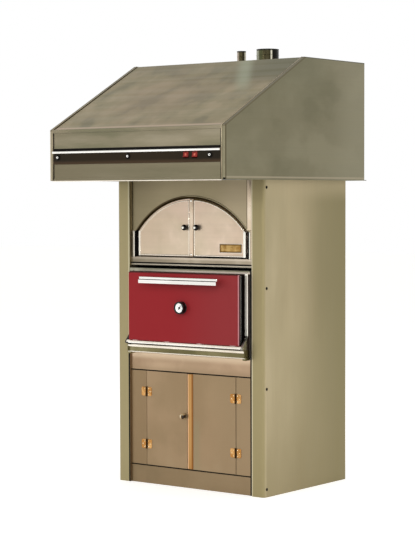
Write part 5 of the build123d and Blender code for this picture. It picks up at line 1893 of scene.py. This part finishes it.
@dataclass
class Cupboard:
    """The cupboard's doors with their brass strip, hinges and knob."""

    paint: Paint
    screw_spots: tuple[Pair, ...] = ((11.0, 14.0), (23.0, 0.0), (11.0, -14.0))
    leaf_start: float = 4.5 * MM
    leaf_end: float = 32 * MM
    leaf_half: float = 22.5 * MM
    barrel_radius: float = 3.4 * MM
    knuckles: int = 5

    def build(self) -> None:
        """Dress the cupboard's nodes and add the knob, strip and hinge screws."""
        self.paint.dress(Finish.FRONT, "cupboard_door_left", "cupboard_door_right")
        self.paint.dress(Finish.DARK, "hinge_pins")
        self.knob()
        self.strip()
        self.hinges()

    def knob(self) -> None:
        """Replace the knob with a turned ball on a neck and rose."""
        low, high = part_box("cupboard_knob")
        x, _, z = middle_of("cupboard_knob")
        ball = lathe(turned_knob((high.z - low.z) / 2, high.y - low.y), (x, high.y, z))
        self.paint.solid("cupboard_ball", [ball], Finish.ANTIQUE, "cupboard_leaf_left", "brass",
                         "cupboard_knob")

    def strip(self) -> None:
        """Replace the brass strip with one whose face is a quarter ellipse at both sides."""
        low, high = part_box("cupboard_astragal")
        x, _, z = middle_of("cupboard_astragal")
        reach = high.y - low.y
        curve = arc((8 * MM, reach), 8 * MM, reach, 180, 270, 7).tolist()
        rings = panel_rings((x, low.y, z), (high.x - low.x) / 2, (high.z - low.z) / 2 + 2.4 * MM, 3 * MM,
                            [(0.0, reach), *curve], 5)
        self.paint.solid("brass_strip", [rings], Finish.BRASS_STRIP, "cupboard_leaf_right", "brass",
                         "cupboard_astragal")

    def hinges(self) -> None:
        """Replace the butt hinges with round-cornered leaves, screws and turned barrels."""
        low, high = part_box("butt_leaves_fixed")
        levels = (low.z + self.leaf_half, high.z - self.leaf_half)
        door_low, door_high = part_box("cupboard_door_left")[0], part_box("cupboard_door_right")[1]
        left_x, right_x, face = door_low.x - 1 * MM, door_high.x + 1 * MM, door_low.y - 2 * MM
        self.barrel(low.y, levels, (left_x, right_x))
        head = in_mm([(3.4, 0), (3.4, 0.5), (2.04, 1.2), (0.68, 1.3)])
        leaf_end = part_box("butt_leaves_left")[1].x - left_x
        groups = (("fixed", CABINET, ((left_x, -1), (right_x, 1)), self.leaf_end),
                  ("left", "cupboard_leaf_left", ((left_x, 1),), leaf_end),
                  ("right", "cupboard_leaf_right", ((right_x, -1),), leaf_end))
        for name, body, sides, end in groups:
            leaves, screws = [], []
            for axis_x, direction in sides:
                for level in levels:
                    centre = (axis_x + direction * (self.leaf_start + end) / 2, face, level)
                    leaves.append(plate_rings(centre, (end - self.leaf_start) / 2, self.leaf_half, 7 * MM,
                                              0.8 * MM, 2.2 * MM, 6))
                    for out, up in self.screw_spots:
                        spot = (axis_x + direction * out * MM, face, level + up * MM)
                        screws.append(lathe(head, spot, segments=20))
            self.paint.solid(f"hinge_leaves_{name}", leaves, Finish.BRASS, body, "brass",
                             f"butt_leaves_{name}")
            self.paint.solid(f"hinge_screws_{name}", screws, Finish.BRASS_BRIGHT, body, "brass")

    def barrel(self, front: float, levels: Pair, axes: Pair) -> None:
        """Add the grooved barrels, with a round tip at both ends, on the hinge axes.

        Args:
            front: y of the hinges' front.
            levels: z of each hinge's middle.
            axes: x of the two hinge axes.
        """
        radius, half = self.barrel_radius, self.leaf_half
        grooves = np.linspace(-half, half, self.knuckles + 1).tolist()
        profile = [(radius * 0.3, -half - 2.4 * MM), (radius * 0.8, -half - 1.4 * MM)]
        for start, end in zip(grooves[:-1], grooves[1:]):
            profile += [(radius * 0.8, start), (radius, start + 0.6 * MM), (radius, end - 0.6 * MM),
                        (radius * 0.8, end)]
        profile += [(radius * 0.8, half + 1.4 * MM), (radius * 0.3, half + 2.4 * MM)]
        stacks = [lathe(profile, (x, front + radius, level), Axis.Z, 1, 20) for x in axes for level in levels]
        self.paint.solid("hinge_barrels", stacks, Finish.BARREL, CABINET, "brass")


@dataclass
class Inside:
    """What shows when the doors are open or from below."""

    paint: Paint

    def build(self) -> None:
        """Dress the firebox, racks, pan, flue and insulation."""
        self.paint.dress(Finish.IRON, "firebox", "charcoal_grate")
        self.paint.dress(Finish.INOX, "grill_racks", "flue_damper")
        self.paint.dress(Finish.ZINC, "ash_pan", "flue_pipe")
        self.paint.dress(Finish.FIBRE, "oven_insulation")


@dataclass
class Studio:
    """The camera, floor, world and lamps."""

    place: Point = (5.2643, -6.8829, 1.4284)
    yaw: float = 37.502
    pitch: float = 2.653
    roll: float = -0.154
    lens: float = 114.39
    world_light: float = 0.62
    floor_half: float = 30.0
    floor_glow: float = 0.47
    floor_colour: Colour = (236, 235, 232)

    def build(self) -> None:
        """Make the whole studio."""
        self.camera()
        self.floor()
        self.world()
        self.lamp("key", (3.4, -5.2, 4.6), (0.0, -0.1, 1.0), 3.2, 130.0)
        self.lamp("fill", (-4.6, -4.2, 3.0), (0.0, 0.0, 1.0), 3.6, 80.0, mirrored=False)
        self.lamp("rear", (1.5, 5.0, 4.2), (0.0, 0.2, 1.2), 3.4, 80.0, mirrored=False)
        self.lamp("spark", (-1.1, -6.6, 3.0), (0.0, -0.2, 1.1), 0.5, 26.0)
        bpy.context.scene.view_settings.view_transform = "Standard"

    def camera(self) -> None:
        """Place the camera at the measured viewing angle."""
        yaw, pitch, roll = (math.radians(angle) for angle in (self.yaw, self.pitch, self.roll))
        flat = math.cos(pitch)
        forward = Vector((-math.sin(yaw) * flat, math.cos(yaw) * flat, -math.sin(pitch)))
        level = Vector((math.cos(yaw), math.sin(yaw), 0.0))
        above = level.cross(forward)
        right = level * math.cos(roll) + above * math.sin(roll)
        up = above * math.cos(roll) - level * math.sin(roll)
        data = bpy.data.cameras.new("camera")
        data.sensor_fit = "VERTICAL"
        data.sensor_height = 36.0
        data.lens = self.lens
        eye = bpy.data.objects.new("camera", data)
        turned = Matrix((right, up, -forward)).transposed().to_4x4()
        eye.matrix_world = Matrix.Translation(self.place) @ turned
        bpy.context.scene.collection.objects.link(eye)
        bpy.context.scene.camera = eye

    def floor(self) -> None:
        """Lay a large pale floor under the oven."""
        half = self.floor_half
        corners = np.array([(-half, -half, 0.0), (half, -half, 0.0), (half, half, 0.0), (-half, half, 0.0)])
        floor = add_mesh("floor", corners, [(0, 1, 2, 3)], smooth=False)
        material, graph, shader = new_material("floor_paper")
        shader.inputs["Base Color"].default_value = linear(self.floor_colour)
        shader.inputs["Roughness"].default_value = 0.9
        shader.inputs["Specular IOR Level"].default_value = 0.1
        glow = graph.math("MULTIPLY", self.seen(graph), self.floor_glow)
        shader.inputs["Emission Color"].default_value = (1.0, 1.0, 1.0, 1.0)
        graph.feed(shader.inputs["Emission Strength"], glow)
        floor.data.materials.append(material)

    def world(self) -> None:
        """Make a white world that the camera and glossy surfaces see at full strength."""
        world = bpy.data.worlds.new("studio")
        world.use_nodes = True
        bpy.context.scene.world = world
        graph = Graph(world.node_tree)
        back = world.node_tree.nodes["Background"]
        back.inputs["Color"].default_value = (1.0, 1.0, 1.0, 1.0)
        strength = graph.math("MULTIPLY", self.seen(graph), 1.0 - self.world_light)
        graph.feed(back.inputs["Strength"], graph.math("ADD", strength, self.world_light))

    @staticmethod
    def seen(graph: Graph) -> bpy.types.NodeSocket:
        """Return 1 for the rays that see the background: camera, glossy and transmission rays."""
        path = graph.node("ShaderNodeLightPath")
        first = graph.math("MAXIMUM", path.outputs["Is Camera Ray"], path.outputs["Is Glossy Ray"])
        return graph.math("MAXIMUM", first, path.outputs["Is Transmission Ray"])

    def lamp(self, name: str, place: Point, target: Point, size: float, power: float,
             mirrored: bool = True) -> None:
        """Hang a square soft lamp.

        Args:
            name: its name.
            place: where it hangs.
            target: where it points.
            size: side of the square in metres.
            power: its power in watts.
            mirrored: it shows in reflections.
        """
        data = bpy.data.lights.new(name, "AREA")
        data.size = size
        data.energy = power
        lamp = bpy.data.objects.new(name, data)
        lamp.visible_glossy = mirrored
        lamp.location = place
        lamp.rotation_euler = (Vector(target) - Vector(place)).to_track_quat("-Z", "Y").to_euler()
        bpy.context.scene.collection.objects.link(lamp)


def main() -> None:
    logging.basicConfig(level=logging.INFO, format="%(name)s: %(message)s")
    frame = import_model()
    Groups.build()
    paint = Paint(frame["nodes"])
    Studio().build()
    for assembly in (Tower, Hood, OvenFront, ArchFront, Cupboard, Inside):
        assembly(paint).build()
        log.info("finished %s", assembly.__name__)


if __name__ == "__main__":
    main()
